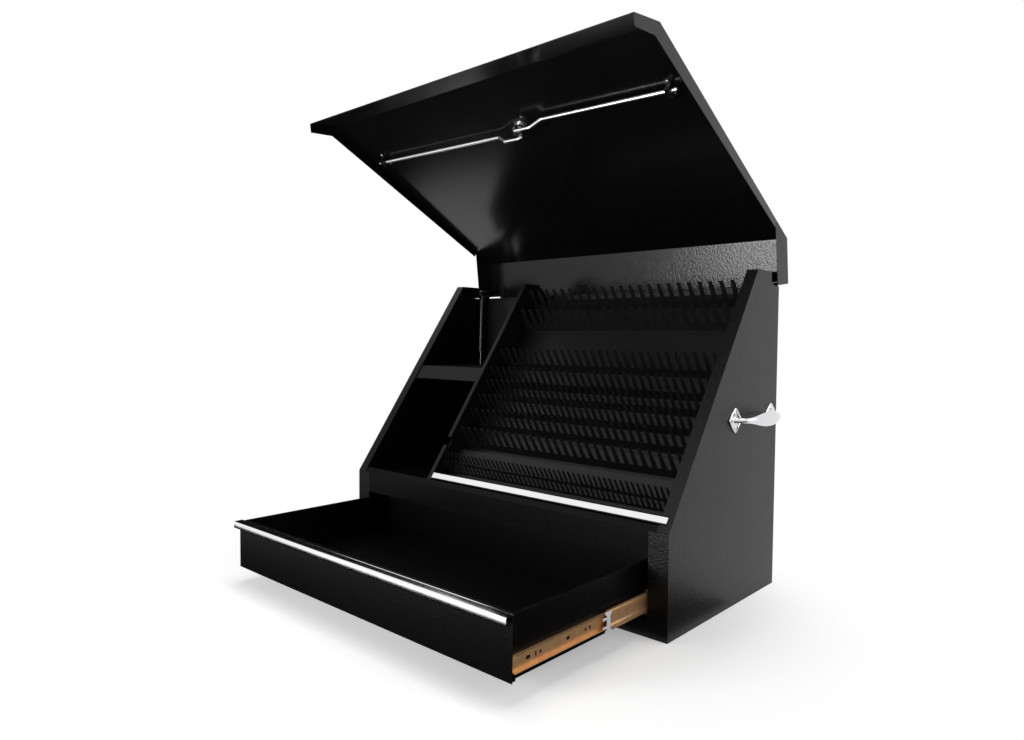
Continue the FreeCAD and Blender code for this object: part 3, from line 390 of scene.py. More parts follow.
# The tree lays balls along every edge of the mesh that it is given
def ball_row_tree():
    inputs = (("Ball Radius", "Float", 0.0016), ("Ball Pitch", "Float", 0.006), ("Finish", "Material", None))
    tree, source, sink = geometry_tree("ball_row", inputs)
    rows = tree.nodes.new("GeometryNodeMeshToCurve")
    spaced = tree.nodes.new("GeometryNodeResampleCurve")
    spaced.mode = "LENGTH"
    ball = tree.nodes.new("GeometryNodeMeshUVSphere")
    ball.inputs["Segments"].default_value = 10
    ball.inputs["Rings"].default_value = 6
    smooth = tree.nodes.new("GeometryNodeSetShadeSmooth")
    spread = tree.nodes.new("GeometryNodeInstanceOnPoints")
    real = tree.nodes.new("GeometryNodeRealizeInstances")
    coat = tree.nodes.new("GeometryNodeSetMaterial")
    links = tree.links
    links.new(source.outputs["Geometry"], rows.inputs["Mesh"])
    links.new(rows.outputs["Curve"], spaced.inputs["Curve"])
    links.new(source.outputs["Ball Pitch"], spaced.inputs["Length"])
    links.new(spaced.outputs["Curve"], spread.inputs["Points"])
    links.new(source.outputs["Ball Radius"], ball.inputs["Radius"])
    links.new(ball.outputs["Mesh"], smooth.inputs["Geometry"])
    links.new(smooth.outputs["Geometry"], spread.inputs["Instance"])
    links.new(spread.outputs["Instances"], real.inputs["Geometry"])
    links.new(real.outputs["Geometry"], coat.inputs["Geometry"])
    links.new(source.outputs["Finish"], coat.inputs["Material"])
    links.new(coat.outputs["Geometry"], sink.inputs["Geometry"])
    return tree


ball_row = ball_row_tree()


# The mesh that an object's modifiers make of it, in place of the object
def built_mesh(holder, name):
    ready = holder.evaluated_get(bpy.context.evaluated_depsgraph_get())
    mesh = bpy.data.meshes.new_from_object(ready)
    bpy.data.objects.remove(holder)
    mesh.name = name
    return mesh


def evaluated_mesh(name, points, edges, tree, values, attributes=()):
    base = bpy.data.meshes.new(name)
    base.from_pydata(points, edges, [])
    for label, vectors in attributes:
        layer = base.attributes.new(label, "FLOAT_VECTOR", "POINT")
        layer.data.foreach_set("vector", [number for vector in vectors for number in vector])
    holder = bpy.data.objects.new(name, base)
    scene.collection.objects.link(holder)
    modifier = holder.modifiers.new("build", "NODES")
    modifier.node_group = tree
    for label, value in values.items():
        set_input(modifier, label, value)
    return built_mesh(holder, name)


def new_piece(name, mesh, body):
    piece = bpy.data.objects.new(name, mesh)
    scene.collection.objects.link(piece)
    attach(piece, body)
    return piece


def block(shape, low, high):
    corners = bmesh.ops.create_cube(shape, size=1.0)["verts"]
    for corner in corners:
        for axis in range(3):
            corner.co[axis] = low[axis] if corner.co[axis] < 0.0 else high[axis]


for side, sign in SIDES:
    outer, middle, inner = (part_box(side + "_slide_" + member) for member in ("outer", "middle", "inner"))
    lip, web = (0, 1) if sign > 0 else (1, 0)
    level = (middle[0][2] + middle[1][2]) / 2
    outer_x = (outer[lip][0] + sign * OUTER_LIP_CLEAR + middle[web][0]) / 2
    inner_x = (middle[lip][0] + sign * INNER_LIP_CLEAR + inner[web][0]) / 2
    outer_rise = (middle[1][2] + outer[1][2] - SLIDE_WALL) / 2 - level
    inner_rise = (inner[1][2] + middle[1][2] - SLIDE_WALL) / 2 - level
    outer_start = middle[1][1] - OUTER_ROW_SETBACK - OUTER_ROW_LENGTH
    inner_start = middle[0][1] + INNER_ROW_SETBACK
    points = []
    retainers = bmesh.new()
    for x, rise, start, length in (
        (outer_x, outer_rise, outer_start, OUTER_ROW_LENGTH),
        (inner_x, inner_rise, inner_start, INNER_ROW_LENGTH),
    ):
        for z in (level - rise, level + rise):
            points += [(x, start + RETAINER_END, z), (x, start + length - RETAINER_END, z)]
            sheet = RETAINER_SHEET / 2
            tall = BALL_RADIUS - RETAINER_INSET
            block(retainers, (x - sheet, start, z - tall), (x + sheet, start + length, z + tall))
    edges = [(number, number + 1) for number in range(0, len(points), 2)]
    values = {"Ball Radius": BALL_RADIUS, "Ball Pitch": BALL_PITCH, "Finish": clip_steel}
    balls = evaluated_mesh(side + "_ball_rows", points, edges, ball_row, values)
    retainers.from_mesh(balls)
    retainers.to_mesh(balls)
    retainers.free()
    rows = new_piece(side + "_ball_rows", balls, "slide_middle_" + side)
    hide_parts(side + "_ball_cages")

# Stop clips: a bright spring steel clip on the front end of each middle member.
# It is stamped with flared ends and two short prongs, and keeps the drawer from running out.
CLIP_SHEET = 0.0011
CLIP_GAP = 0.00005
CLIP_EDGE = 0.0003
CLIP_HALF_TALL = 0.0185
CLIP_NECK = 0.64
CLIP_SHOULDER = 0.80
CLIP_FLARE = 0.001
CLIP_FRONT = -0.0115
CLIP_REAR = 0.0070
CLIP_WAIST_FRONT = -0.0065
CLIP_WAIST_REAR = 0.0035
CLIP_PRONG = -0.0182
CLIP_PRONG_TALL = 0.0044
CLIP_PRONG_LEVEL = 0.0076
CLIP_PRONG_TAPER = 0.97
CLIP_BULGE = 0.0005

CLIP_ZINC = (0.94, 0.94, 0.94)
clip_plate = plated_steel("clip_plate", CLIP_ZINC, (0.88, 0.88, 0.90), roughness=0.3, metal=0.05)

# Each row is a level, then where the plate begins and ends along the slide
clip_rows = [
    (CLIP_PRONG_LEVEL - CLIP_PRONG_TALL / 2, CLIP_WAIST_FRONT, CLIP_WAIST_REAR),
    (CLIP_PRONG_LEVEL + CLIP_PRONG_TALL / 2, CLIP_WAIST_FRONT, CLIP_WAIST_REAR),
    (CLIP_HALF_TALL * CLIP_NECK, CLIP_WAIST_FRONT, CLIP_WAIST_REAR + CLIP_FLARE),
    (CLIP_HALF_TALL * CLIP_SHOULDER, CLIP_FRONT, CLIP_REAR),
    (CLIP_HALF_TALL, CLIP_FRONT, CLIP_REAR),
]
clip_rows = [(-level, front, rear) for level, front, rear in reversed(clip_rows)] + clip_rows
PRONG_ROWS = (3, 5)


# The plate bows a little away from the web, most at its middle
def clip_corner(shape, spot, sign, along, level):
    lift = CLIP_SHEET + CLIP_GAP + CLIP_BULGE * (1.0 - (level / CLIP_HALF_TALL) ** 2)
    return shape.verts.new((spot[0] + sign * lift, spot[1] + along, spot[2] + level))


for side, sign in SIDES:
    clip_low, clip_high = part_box(side + "_slide_stop")
    web_x = clip_high[0] if sign > 0 else clip_low[0]
    spot = (web_x, clip_high[1], (clip_high[2] + clip_low[2]) / 2)
    shape = bmesh.new()
    edges = []
    for level, front, rear in clip_rows:
        edges.append([clip_corner(shape, spot, sign, along, level) for along in (front, rear)])
    for first, second in zip(edges, edges[1:]):
        shape.faces.new((first[0], first[1], second[1], second[0]))
    for row in PRONG_ROWS:
        levels = [clip_rows[number][0] * CLIP_PRONG_TAPER for number in (row, row + 1)]
        tips = [clip_corner(shape, spot, sign, CLIP_PRONG, level) for level in levels]
        shape.faces.new((tips[0], edges[row][0], edges[row + 1][0], tips[1]))
    back = bmesh.ops.extrude_face_region(shape, geom=list(shape.faces))
    for vertex in back["geom"]:
        if isinstance(vertex, bmesh.types.BMVert):
            vertex.co.x -= sign * CLIP_SHEET
    bmesh.ops.recalc_face_normals(shape, faces=shape.faces)
    clip_mesh = bpy.data.meshes.new(side + "_stop_clip")
    shape.to_mesh(clip_mesh)
    shape.free()
    clip_mesh.materials.append(clip_plate)
    clip = new_piece(side + "_stop_clip", clip_mesh, "slide_middle_" + side)
    rounded = clip.modifiers.new("edge", "BEVEL")
    rounded.width = CLIP_EDGE
    rounded.segments = 2
    rounded.limit_method = "ANGLE"
    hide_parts(side + "_slide_stop")

# Middle members: rolled steel, with a groove pressed along the web between the two ball races.
# Each is one strip folded through rollers, so its section is the same from end to end.
RACE_BAND = 0.0080
GROOVE_SLOPE = 0.0022
GROOVE_DEPTH = 0.0021
ROLL_RADIUS = 0.0016
FOLD_STEPS = 4
FOLD_ROOM = 0.45
FOLD_FACET = 1.2
FOLD_ANGLE = math.radians(35.0)


# Each corner turns into a curve in short steps, as far back along its sides as they have room
def rounded_chain(points, radius):
    chain = [Vector(points[0])]
    for before, corner, after in zip(points, points[1:], points[2:]):
        corner = Vector(corner)
        back = (Vector(before) - corner).normalized()
        ahead = (Vector(after) - corner).normalized()
        half = back.angle(ahead) / 2
        room = FOLD_ROOM * min((Vector(before) - corner).length, (Vector(after) - corner).length)
        cut = min(radius / math.tan(half), room)
        start, end = corner + back * cut, corner + ahead * cut
        for step in range(FOLD_STEPS + 1):
            share = step / FOLD_STEPS
            chain.append(start.lerp(corner, share).lerp(corner.lerp(end, share), share))
    chain.append(Vector(points[-1]))
    return chain


# A folded strip has the given middle line, thickness and ends; place() puts a point in the frame
def folded_strip(name, points, radius, thickness, ends, place):
    chain = rounded_chain(points, radius)
    shape = bmesh.new()
    rows = []
    for number, point in enumerate(chain):
        along = (chain[min(number + 1, len(chain) - 1)] - chain[max(number - 1, 0)]).normalized()
        normal = Vector((-along.y, along.x))
        inner, outer = point - normal * thickness / 2, point + normal * thickness / 2
        rows.append([shape.verts.new(place(spot, end)) for end in ends for spot in (inner, outer)])
    for first, second in zip(rows, rows[1:]):
        for a, b in ((0, 1), (1, 3), (3, 2), (2, 0)):
            shape.faces.new((first[a], first[b], second[b], second[a]))
    for row in (rows[0], rows[-1]):
        shape.faces.new((row[0], row[1], row[3], row[2]))
    bmesh.ops.recalc_face_normals(shape, faces=shape.faces)
    mesh = bpy.data.meshes.new(name)
    shape.to_mesh(mesh)
    shape.free()
    flat_area = FOLD_FACET * radius * abs(ends[1] - ends[0])
    for face in mesh.polygons:
        face.use_smooth = face.area < flat_area
    mesh.set_sharp_from_angle(angle=FOLD_ANGLE)
    return mesh


for side, sign in SIDES:
    member_low, member_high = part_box(side + "_slide_middle")
    web = abs(member_high[0] if sign > 0 else member_low[0]) - SLIDE_WALL / 2
    lip = abs(member_low[0] if sign > 0 else member_high[0])
    half = (member_high[2] - member_low[2]) / 2 - SLIDE_WALL / 2
    level = (member_high[2] + member_low[2]) / 2
    groove = half - RACE_BAND
    line = [(lip, half), (web, half), (web, groove), (web - GROOVE_DEPTH, groove - GROOVE_SLOPE)]
    line += [(x, -z) for x, z in reversed(line)]
    member_mesh = folded_strip(
        side + "_middle_member",
        line,
        ROLL_RADIUS,
        SLIDE_WALL,
        (member_low[1], member_high[1]),
        lambda spot, y: (sign * spot.x, y, level + spot.y),
    )
    member_mesh.materials.append(gold_zinc)
    member = new_piece(side + "_middle_member", member_mesh, "slide_middle_" + side)
    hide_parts(side + "_slide_middle")

# Drawer: a folded tray with a box front, in the chest's powder coat.
# The coat is thinner here, so the faces stay dark.
drawer_coat = black_coat("drawer_coat", roughness=0.34, grain_depth=0.2, specular=0.1)
finish(("drawer_box", "drawer_front"), drawer_coat)

# Drawer pull: an aluminium extrusion with a tall front wall and a hooked lower edge.
# Its short top leg ends in a ridge that catches the light along the drawer's whole width.
PULL_SHEET = 0.0016
PULL_TOP_LEG = 0.0175
PULL_RIDGE = 0.0005
PULL_RIDGE_TOP = 0.0016
PULL_RIDGE_FOOT = 0.0028
PULL_EDGE = 0.0014
PULL_HOOK = ((0.0060, 0.0012), (0.0072, 0.0050))

pull_low, pull_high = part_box("drawer_pull")
pull_front = pull_low[1] + PULL_SHEET / 2
pull_top = pull_high[2] - PULL_SHEET / 2 - PULL_RIDGE
pull_foot = pull_low[2] + PULL_SHEET / 2
pull_line = [
    (pull_front + PULL_TOP_LEG, pull_top + PULL_RIDGE),
    (pull_front + PULL_TOP_LEG - PULL_RIDGE_TOP, pull_top + PULL_RIDGE),
    (pull_front + PULL_TOP_LEG - PULL_RIDGE_FOOT, pull_top),
    (pull_front, pull_top),
    (pull_front, pull_foot),
]
pull_line += [(pull_front + along, pull_foot + up) for along, up in PULL_HOOK]
pull_mesh = folded_strip(
    "pull_extrusion",
    pull_line,
    PULL_EDGE,
    PULL_SHEET,
    (pull_low[0], pull_high[0]),
    lambda spot, x: (x, spot.x, spot.y),
)
pull_mesh.materials.append(brushed_aluminium)
pull = new_piece("pull_extrusion", pull_mesh, "drawer")
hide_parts("drawer_pull")

# Bright strip: an aluminium angle along the rack's foot, extruded like the pull.
# Its wall leans as the rack does, and a short leg turns in from the wall's top.
SLOPE_RISE = 0.8177
SLOPE_RUN = 0.5757
TRIM_LEAN = math.atan2(SLOPE_RISE, SLOPE_RUN)
TRIM_SETBACK = 0.0095
TRIM_WALL = 0.0128
TRIM_LEG = 0.0066
TRIM_SHEET = 0.0014
TRIM_INSET = 0.0012

trim_low, trim_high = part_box("rack_trim")
downward = Vector((-math.cos(TRIM_LEAN), -math.sin(TRIM_LEAN)))
inward = Vector((math.sin(TRIM_LEAN), -math.cos(TRIM_LEAN)))
trim_tip = Vector((trim_low[1] + TRIM_SETBACK, trim_high[2])) + (downward + inward) * TRIM_SHEET / 2
trim_line = [trim_tip + inward * TRIM_LEG, trim_tip, trim_tip + downward * TRIM_WALL]
trim_mesh = folded_strip(
    "trim_extrusion",
    trim_line,
    TRIM_SHEET,
    TRIM_SHEET,
    (trim_low[0] + TRIM_INSET, trim_high[0] - TRIM_INSET),
    lambda spot, x: (x, spot.x, spot.y),
)
trim_mesh.materials.append(brushed_aluminium)
trim = new_piece("trim_extrusion", trim_mesh, "cabinet")
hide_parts("rack_trim")

# Lid: one folded sheet with side flanges and a lip, and a deep corner piece at each rear end.
# Its inside is a smoother coat than the chest's, and it mirrors the latch rods faintly.
LID_GRAIN = 0.05
lid_coat = black_coat(
    "lid_coat",
    roughness=0.2,
    grain_depth=LID_GRAIN,
    specular=0.30,
    grains=240.0,
    drift=0.08,
)
finish(("lid_panel",), lid_coat)

# The rear wall above the hinge keeps the chest's coarse grain; it ends where the lid's plane begins
WALL_TOP = 0.772
WALL_FADE = 0.006
WALL_GRAIN = 0.26
lid_tree = lid_coat.node_tree
lid_height = lid_tree.nodes.new("ShaderNodeSeparateXYZ")
lid_tree.links.new(object_place(lid_tree), lid_height.inputs["Vector"])
wall_mask = range_node(lid_tree, lid_height.outputs["Z"], WALL_TOP - WALL_FADE, WALL_TOP)
wall_mask.inputs["To Min"].default_value = WALL_GRAIN
wall_mask.inputs["To Max"].default_value = LID_GRAIN
for node in lid_tree.nodes:
    if node.type == "GROUP" and node.node_tree == coat_grain:
        lid_tree.links.new(wall_mask.outputs["Result"], node.inputs["Grain Depth"])
finish(("right_lid_corner", "left_lid_corner"), textured_coat)

# Continuous hinge: two rolled leaves on one wire pin, along the chest's rear edge.
# The leaves are painted with the chest, and the pin shows its plain steel at its ends.
smooth_black = black_coat("smooth_black", roughness=0.3, grain_depth=0.05, specular=0.4)
finish(("hinge_body_leaf", "hinge_lid_leaf"), smooth_black)
finish(("hinge_pin",), nut_steel)

# Latch: chrome escutcheon and T-handle outside; nut, cam and two rods inside.
# The rods are plated round bar; each hooks up through an ear of the cam and runs in a guide.
CHROME = (0.74, 0.74, 0.76)


# Smears: faint wipes and finger marks in the gloss of plated parts, over a slight ripple
SMEAR_LEVELS = (0.5, 0.8)
SMEAR_DISTORTION = 0.8
RIPPLES_PER_METRE = 90.0
RIPPLE_STRENGTH = 0.12
RIPPLE_HEIGHT = 0.0004


def smear_group():
    numbers = (("Smears per Metre", 24.0), ("Smear Depth", 0.12), ("Roughness", 0.06))
    outputs = (("Roughness", "Float"), ("Normal", "Vector"))
    tree, source, sink = shader_group("plating_smears", numbers, outputs)
    place = object_place(tree)
    smear = noise_node(tree, place, 6.0, source.outputs["Smears per Metre"])
    smear.node.inputs["Distortion"].default_value = SMEAR_DISTORTION
    spread = range_node(tree, smear, *SMEAR_LEVELS)
    swing = math_node(tree, "MULTIPLY", spread.outputs["Result"], source.outputs["Smear Depth"])
    rough = math_node(tree, "ADD", swing, source.outputs["Roughness"])
    ripple = noise_node(tree, place, 1.0, RIPPLES_PER_METRE)
    normal = bump_node(tree, ripple, RIPPLE_STRENGTH, RIPPLE_HEIGHT)
    tree.links.new(rough, sink.inputs["Roughness"])
    tree.links.new(normal, sink.inputs["Normal"])
    return tree


plating_smears = smear_group()


def chrome_plate(name, colour, roughness):
    material, tree, shader = new_material(name)
    shader.inputs["Metallic"].default_value = 1.0
    cloud = placed(tree, tone_cloud, Clouds_per_Metre=20.0)
    tone = blend_colours(tree, cloud.outputs["Mask"], colour, scaled(colour, 0.92))
    smears = placed(tree, plating_smears, Roughness=roughness)
    tree.links.new(tone, shader.inputs["Base Color"])
    tree.links.new(smears.outputs["Roughness"], shader.inputs["Roughness"])
    tree.links.new(smears.outputs["Normal"], shader.inputs["Normal"])
    return material


chrome = chrome_plate("chrome", CHROME, roughness=0.07)
rod_plate = chrome_plate("rod_plate", (0.90, 0.90, 0.90), roughness=0.22)
finish(("latch_body", "tee_handle", "lock_core"), chrome)
finish(("right_latch_rod", "left_latch_rod"), rod_plate)
finish(("latch_nut", "cam_nut"), nut_steel)
finish(("latch_cam", "rod_guides", "lid_brackets"), smooth_black)

# Rivets: two small domed heads through each rod guide's feet hold it to the lid.
# They are zinc plated steel, set by hand from inside.
RIVET_RADIUS = 0.0032
RIVET_RISE = 0.0013
RIVET_SEED = 7
RIVET_X = 0.414
RIVET_UP = 0.0149
RIVET_OUT = -0.0035
HEAD_ANGLE = math.radians(40.0)


# The tree sets one head on every point, turned to the point's own facing
def head_tree():
    inputs = (
        ("Head Radius", "Float", 0.004),
        ("Head Rise", "Float", 0.002),
        ("Recess Length", "Float", 0.004),
        ("Recess Width", "Float", 0.001),
        ("Recess Depth", "Float", 0.0),
        ("Seed", "Int", 1),
        ("Finish", "Material", None),
    )
    tree, source, sink = geometry_tree("fastener_heads", inputs)
    links = tree.links
    dome = tree.nodes.new("GeometryNodeMeshUVSphere")
    dome.inputs["Segments"].default_value = 24
    dome.inputs["Rings"].default_value = 12
    dome.inputs["Radius"].default_value = 1.0
    squash = tree.nodes.new("ShaderNodeCombineXYZ")
    links.new(source.outputs["Head Radius"], squash.inputs["X"])
    links.new(source.outputs["Head Radius"], squash.inputs["Y"])
    links.new(source.outputs["Head Rise"], squash.inputs["Z"])
    pressed = tree.nodes.new("GeometryNodeTransform")
    links.new(dome.outputs["Mesh"], pressed.inputs["Geometry"])
    links.new(squash.outputs["Vector"], pressed.inputs["Scale"])
    deep = math_node(tree, "MULTIPLY", source.outputs["Recess Depth"], 2.0)
    cross = tree.nodes.new("GeometryNodeJoinGeometry")
    for turn in (0.0, math.pi / 2):
        slot_size = tree.nodes.new("ShaderNodeCombineXYZ")
        links.new(source.outputs["Recess Length"], slot_size.inputs["X"])
        links.new(source.outputs["Recess Width"], slot_size.inputs["Y"])
        links.new(deep, slot_size.inputs["Z"])
        slot_block = tree.nodes.new("GeometryNodeMeshCube")
        links.new(slot_size.outputs["Vector"], slot_block.inputs["Size"])
        lift = tree.nodes.new("ShaderNodeCombineXYZ")
        links.new(source.outputs["Head Rise"], lift.inputs["Z"])
        raised = tree.nodes.new("GeometryNodeTransform")
        raised.inputs["Rotation"].default_value = (0.0, 0.0, turn)
        links.new(slot_block.outputs["Mesh"], raised.inputs["Geometry"])
        links.new(lift.outputs["Vector"], raised.inputs["Translation"])
        links.new(raised.outputs["Geometry"], cross.inputs["Geometry"])
    cut = tree.nodes.new("GeometryNodeMeshBoolean")
    cut.operation = "DIFFERENCE"
    links.new(pressed.outputs["Geometry"], cut.inputs["Mesh 1"])
    links.new(cross.outputs["Geometry"], cut.inputs["Mesh 2"])
    facing = tree.nodes.new("GeometryNodeInputNamedAttribute")
    facing.data_type = "FLOAT_VECTOR"
    facing.inputs["Name"].default_value = "facing"
    aimed = tree.nodes.new("FunctionNodeAlignRotationToVector")
    aimed.axis = "Z"
    links.new(facing.outputs["Attribute"], aimed.inputs["Vector"])
    spin = tree.nodes.new("FunctionNodeRandomValue")
    spin.data_type = "FLOAT"
    spin.inputs[2].default_value = 0.0
    spin.inputs[3].default_value = math.pi / 2
    links.new(source.outputs["Seed"], spin.inputs["Seed"])
    own_turn = tree.nodes.new("ShaderNodeCombineXYZ")
    links.new(spin.outputs[1], own_turn.inputs["Z"])
    turned = tree.nodes.new("FunctionNodeRotateRotation")
    turned.rotation_space = "LOCAL"
    links.new(aimed.outputs["Rotation"], turned.inputs["Rotation"])
    links.new(own_turn.outputs["Vector"], turned.inputs["Rotate By"])
    spread = tree.nodes.new("GeometryNodeInstanceOnPoints")
    links.new(source.outputs["Geometry"], spread.inputs["Points"])
    links.new(cut.outputs["Mesh"], spread.inputs["Instance"])
    links.new(turned.outputs["Rotation"], spread.inputs["Rotation"])
    real = tree.nodes.new("GeometryNodeRealizeInstances")
    coat = tree.nodes.new("GeometryNodeSetMaterial")
    links.new(spread.outputs["Instances"], real.inputs["Geometry"])
    links.new(real.outputs["Geometry"], coat.inputs["Geometry"])
    links.new(source.outputs["Finish"], coat.inputs["Material"])
    links.new(coat.outputs["Geometry"], sink.inputs["Geometry"])
    return tree


fastener_heads = head_tree()


def heads(name, body, places, values):
    points = [place for place, facing in places]
    facings = [tuple(facing) for place, facing in places]
    mesh = evaluated_mesh(name, points, [], fastener_heads, values, (("facing", facings),))
    for face in mesh.polygons:
        face.use_smooth = True
    mesh.set_sharp_from_angle(angle=HEAD_ANGLE)
    piece = new_piece(name, mesh, body)
    return piece


latch_origin = Vector(joints["handle_turn"]["pos_m"])
lid_out = Vector(joints["handle_turn"]["axis"]).normalized()
lid_up = lid_out.cross(Vector((1.0, 0.0, 0.0)))


def on_lid(x, up, out):
    return Vector((x, latch_origin.y, latch_origin.z)) + lid_up * up + lid_out * out


rivet_places = []
for x in (-RIVET_X, RIVET_X):
    for up in (-RIVET_UP, RIVET_UP):
        rivet_places.append((on_lid(x, up, RIVET_OUT), -lid_out))
rivet_values = {
    "Head Radius": RIVET_RADIUS,
    "Head Rise": RIVET_RISE,
    "Seed": RIVET_SEED,
    "Finish": clip_steel,
}
heads("lid_rivets", "lid", rivet_places, rivet_values)

# Gas struts: a black painted tube with a dark nitrided rod, an eye on a stud at each end.
# The tube end hangs from the lid's bracket and the rod end drops to the side panel's stud.
strut_paint = black_coat("strut_paint", roughness=0.16, grain_depth=0.02, specular=0.5)
strut_nitride = chrome_plate("strut_nitride", (0.13, 0.13, 0.14), roughness=0.2)
for side in ("right", "left"):
    finish((side + "_strut_tube",), strut_paint)
    finish((side + "_strut_rod",), strut_nitride)
finish(("strut_foot_studs",), nut_steel)

# Side handles: one zinc casting each, polished and chromed.
# Diamond flanges with a raised rim carry slim necks that swell into a flat oval grip.
FLANGE_SHAPE = 1.14
FLANGE_WIDE = 0.0285
FLANGE_STEPS = 96
FLANGE_RINGS = ((1.0, 0.0), (1.0, 0.0026), (0.955, 0.0041), (0.86, 0.0042), (0.79, 0.0020))
RECESS_FLOOR = 0.0020
NECK_HALF = 0.0052
NECK_FLARE = 0.0042
GRIP_TALL = 0.0152
GRIP_THICK = 0.0062
GRIP_SQUARENESS = 2.5
GRIP_SWELL = 5.0
GRIP_HOLLOW = 0.45
GRIP_STATIONS = 96
SECTION_POINTS = 28
HANDLE_END = 0.025
NECK_BED = 0.0012
NECK_FLARE_TALL = 0.008
CASTING_VOXEL = 0.0009


# A point of a squarish circle, whose sides flatten as the squareness grows past 2
def squared(turn, squareness):
    power = 2.0 / squareness
    return tuple(math.copysign(abs(part) ** power, part) for part in (math.cos(turn), math.sin(turn)))


def flange_ring(shape, middle, half_wide, half_tall, scale, lift):
    ring = []
    for number in range(FLANGE_STEPS):
        wide, tall = squared(2.0 * math.pi * number / FLANGE_STEPS, FLANGE_SHAPE)
        y = middle[0] + half_wide * scale * wide
        z = middle[1] + half_tall * scale * tall
        ring.append(shape.verts.new((lift, y, z)))
    return ring


def skin_between(shape, rings):
    for first, second in zip(rings, rings[1:]):
        for number in range(len(first)):
            other = (number + 1) % len(first)
            shape.faces.new((first[number], first[other], second[other], second[number]))


def cast_handle_mesh(name, low, high, sign):
    face_x = low[0] if sign > 0 else -high[0]
    half_tall = (high[2] - low[2]) / 2
    level = (high[2] + low[2]) / 2
    ends = (low[1] + HANDLE_END, high[1] - HANDLE_END)
    reach = high[0] - low[0]
    shape = bmesh.new()
    for y in ends:
        rings = []
        for scale, lift in FLANGE_RINGS:
            rings.append(flange_ring(shape, (y, level), FLANGE_WIDE, half_tall, scale, lift))
        skin_between(shape, rings)
        shape.faces.new(list(reversed(rings[0])))
        shape.faces.new(rings[-1])
    middle = (ends[0] + ends[1]) / 2
    half_span = (ends[1] - ends[0]) / 2
    crest = reach - GRIP_THICK - NECK_BED
    path = []
    for number in range(GRIP_STATIONS + 1):
        across, out = squared(math.pi * number / GRIP_STATIONS, GRIP_SQUARENESS)
        path.append(Vector((NECK_BED + crest * out, middle - half_span * across, level)))
    sections = []
    for number, point in enumerate(path):
        along = (path[min(number + 1, GRIP_STATIONS)] - path[max(number - 1, 0)]).normalized()
        outward = Vector((along.y, -along.x, 0.0))
        swell = math.sin(math.pi * number / GRIP_STATIONS) ** GRIP_SWELL
        flare = NECK_FLARE * max(0.0, 1.0 - (point.x - NECK_BED) / NECK_FLARE_TALL) ** 2
        tall = NECK_HALF + flare + (GRIP_TALL - NECK_HALF) * swell
        thick = NECK_HALF + flare + (GRIP_THICK - NECK_HALF) * swell
        ring = []
        for step in range(SECTION_POINTS):
            angle = 2.0 * math.pi * step / SECTION_POINTS
            bow = math.cos(angle) * thick
            if bow < 0.0:
                bow *= 1.0 - GRIP_HOLLOW * swell
            rise = Vector((0.0, 0.0, tall * math.sin(angle)))
            ring.append(shape.verts.new(point + outward * bow + rise))
        sections.append(ring)
    skin_between(shape, sections)
    shape.faces.new(list(reversed(sections[0])))
    shape.faces.new(sections[-1])
    for vertex in shape.verts:
        vertex.co.x = sign * (face_x + vertex.co.x)
    bmesh.ops.recalc_face_normals(shape, faces=shape.faces)
    mesh = bpy.data.meshes.new(name)
    shape.to_mesh(mesh)
    shape.free()
    holder = bpy.data.objects.new(name, mesh)
    scene.collection.objects.link(holder)
    fused = holder.modifiers.new("fuse", "REMESH")
    fused.mode = "VOXEL"
    fused.voxel_size = CASTING_VOXEL
    fused.use_smooth_shade = True
    polish = holder.modifiers.new("polish", "SMOOTH")
    polish.factor = 0.5
    polish.iterations = 5
    return built_mesh(holder, name)


for side, sign in SIDES:
    handle_low, handle_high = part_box(side + "_side_handle")
    casting = cast_handle_mesh(side + "_cast_handle", handle_low, handle_high, sign)
    casting.materials.clear()
    casting.materials.append(chrome)
    handle = new_piece(side + "_cast_handle", casting, "cabinet")
    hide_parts(side + "_side_handle")

# Handle screws: cross-recessed pan heads, two in each flange's recess.
# They are chromed like the casting, and no two stand at the same turn.
SCREW_RADIUS = 0.0042
SCREW_RISE = 0.0024
SCREW_INSET = 0.004
RECESS_LENGTH = 0.0046
RECESS_WIDTH = 0.0011
RECESS_DEPTH = 0.0012
SCREW_SEED = 3

screw_low, screw_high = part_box("handle_screws")
handle_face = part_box("right_side_handle")[0][0]
screw_middle = (screw_low[2] + screw_high[2]) / 2
screw_offset = (screw_high[2] - screw_low[2]) / 2 - SCREW_INSET
screw_places = []
for sign in (-1.0, 1.0):
    for y in (screw_low[1] + SCREW_INSET, screw_high[1] - SCREW_INSET):
        for up in (-1.0, 1.0):
            place = (sign * (handle_face + RECESS_FLOOR), y, screw_middle + up * screw_offset)
            screw_places.append((place, (sign, 0.0, 0.0)))
screw_values = {
    "Head Radius": SCREW_RADIUS,
    "Head Rise": SCREW_RISE,
    "Recess Length": RECESS_LENGTH,
    "Recess Width": RECESS_WIDTH,
    "Recess Depth": RECESS_DEPTH,
    "Seed": SCREW_SEED,
    "Finish": chrome,
}
screws = heads("handle_screw_heads", "cabinet", screw_places, screw_values)
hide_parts("handle_screws")

# Studio: a pale floor and backdrop that the camera sees as white, with the chest's soft shadow.
# The paper glows a little, so the lamps can stay at a level that suits the black coat.
FLOOR_SIZE = 60.0
FLOOR_LEVEL = -0.0005
PAPER = 0.9
PAPER_GLOW = 0.36
SHADOW_MIDDLE = (0.0, -0.45, 0.0)
SHADOW_REACH = (0.55, 0.95)
ROOM_LIGHT = 0.14
WHITE = (1.0, 1.0, 1.0, 1.0)


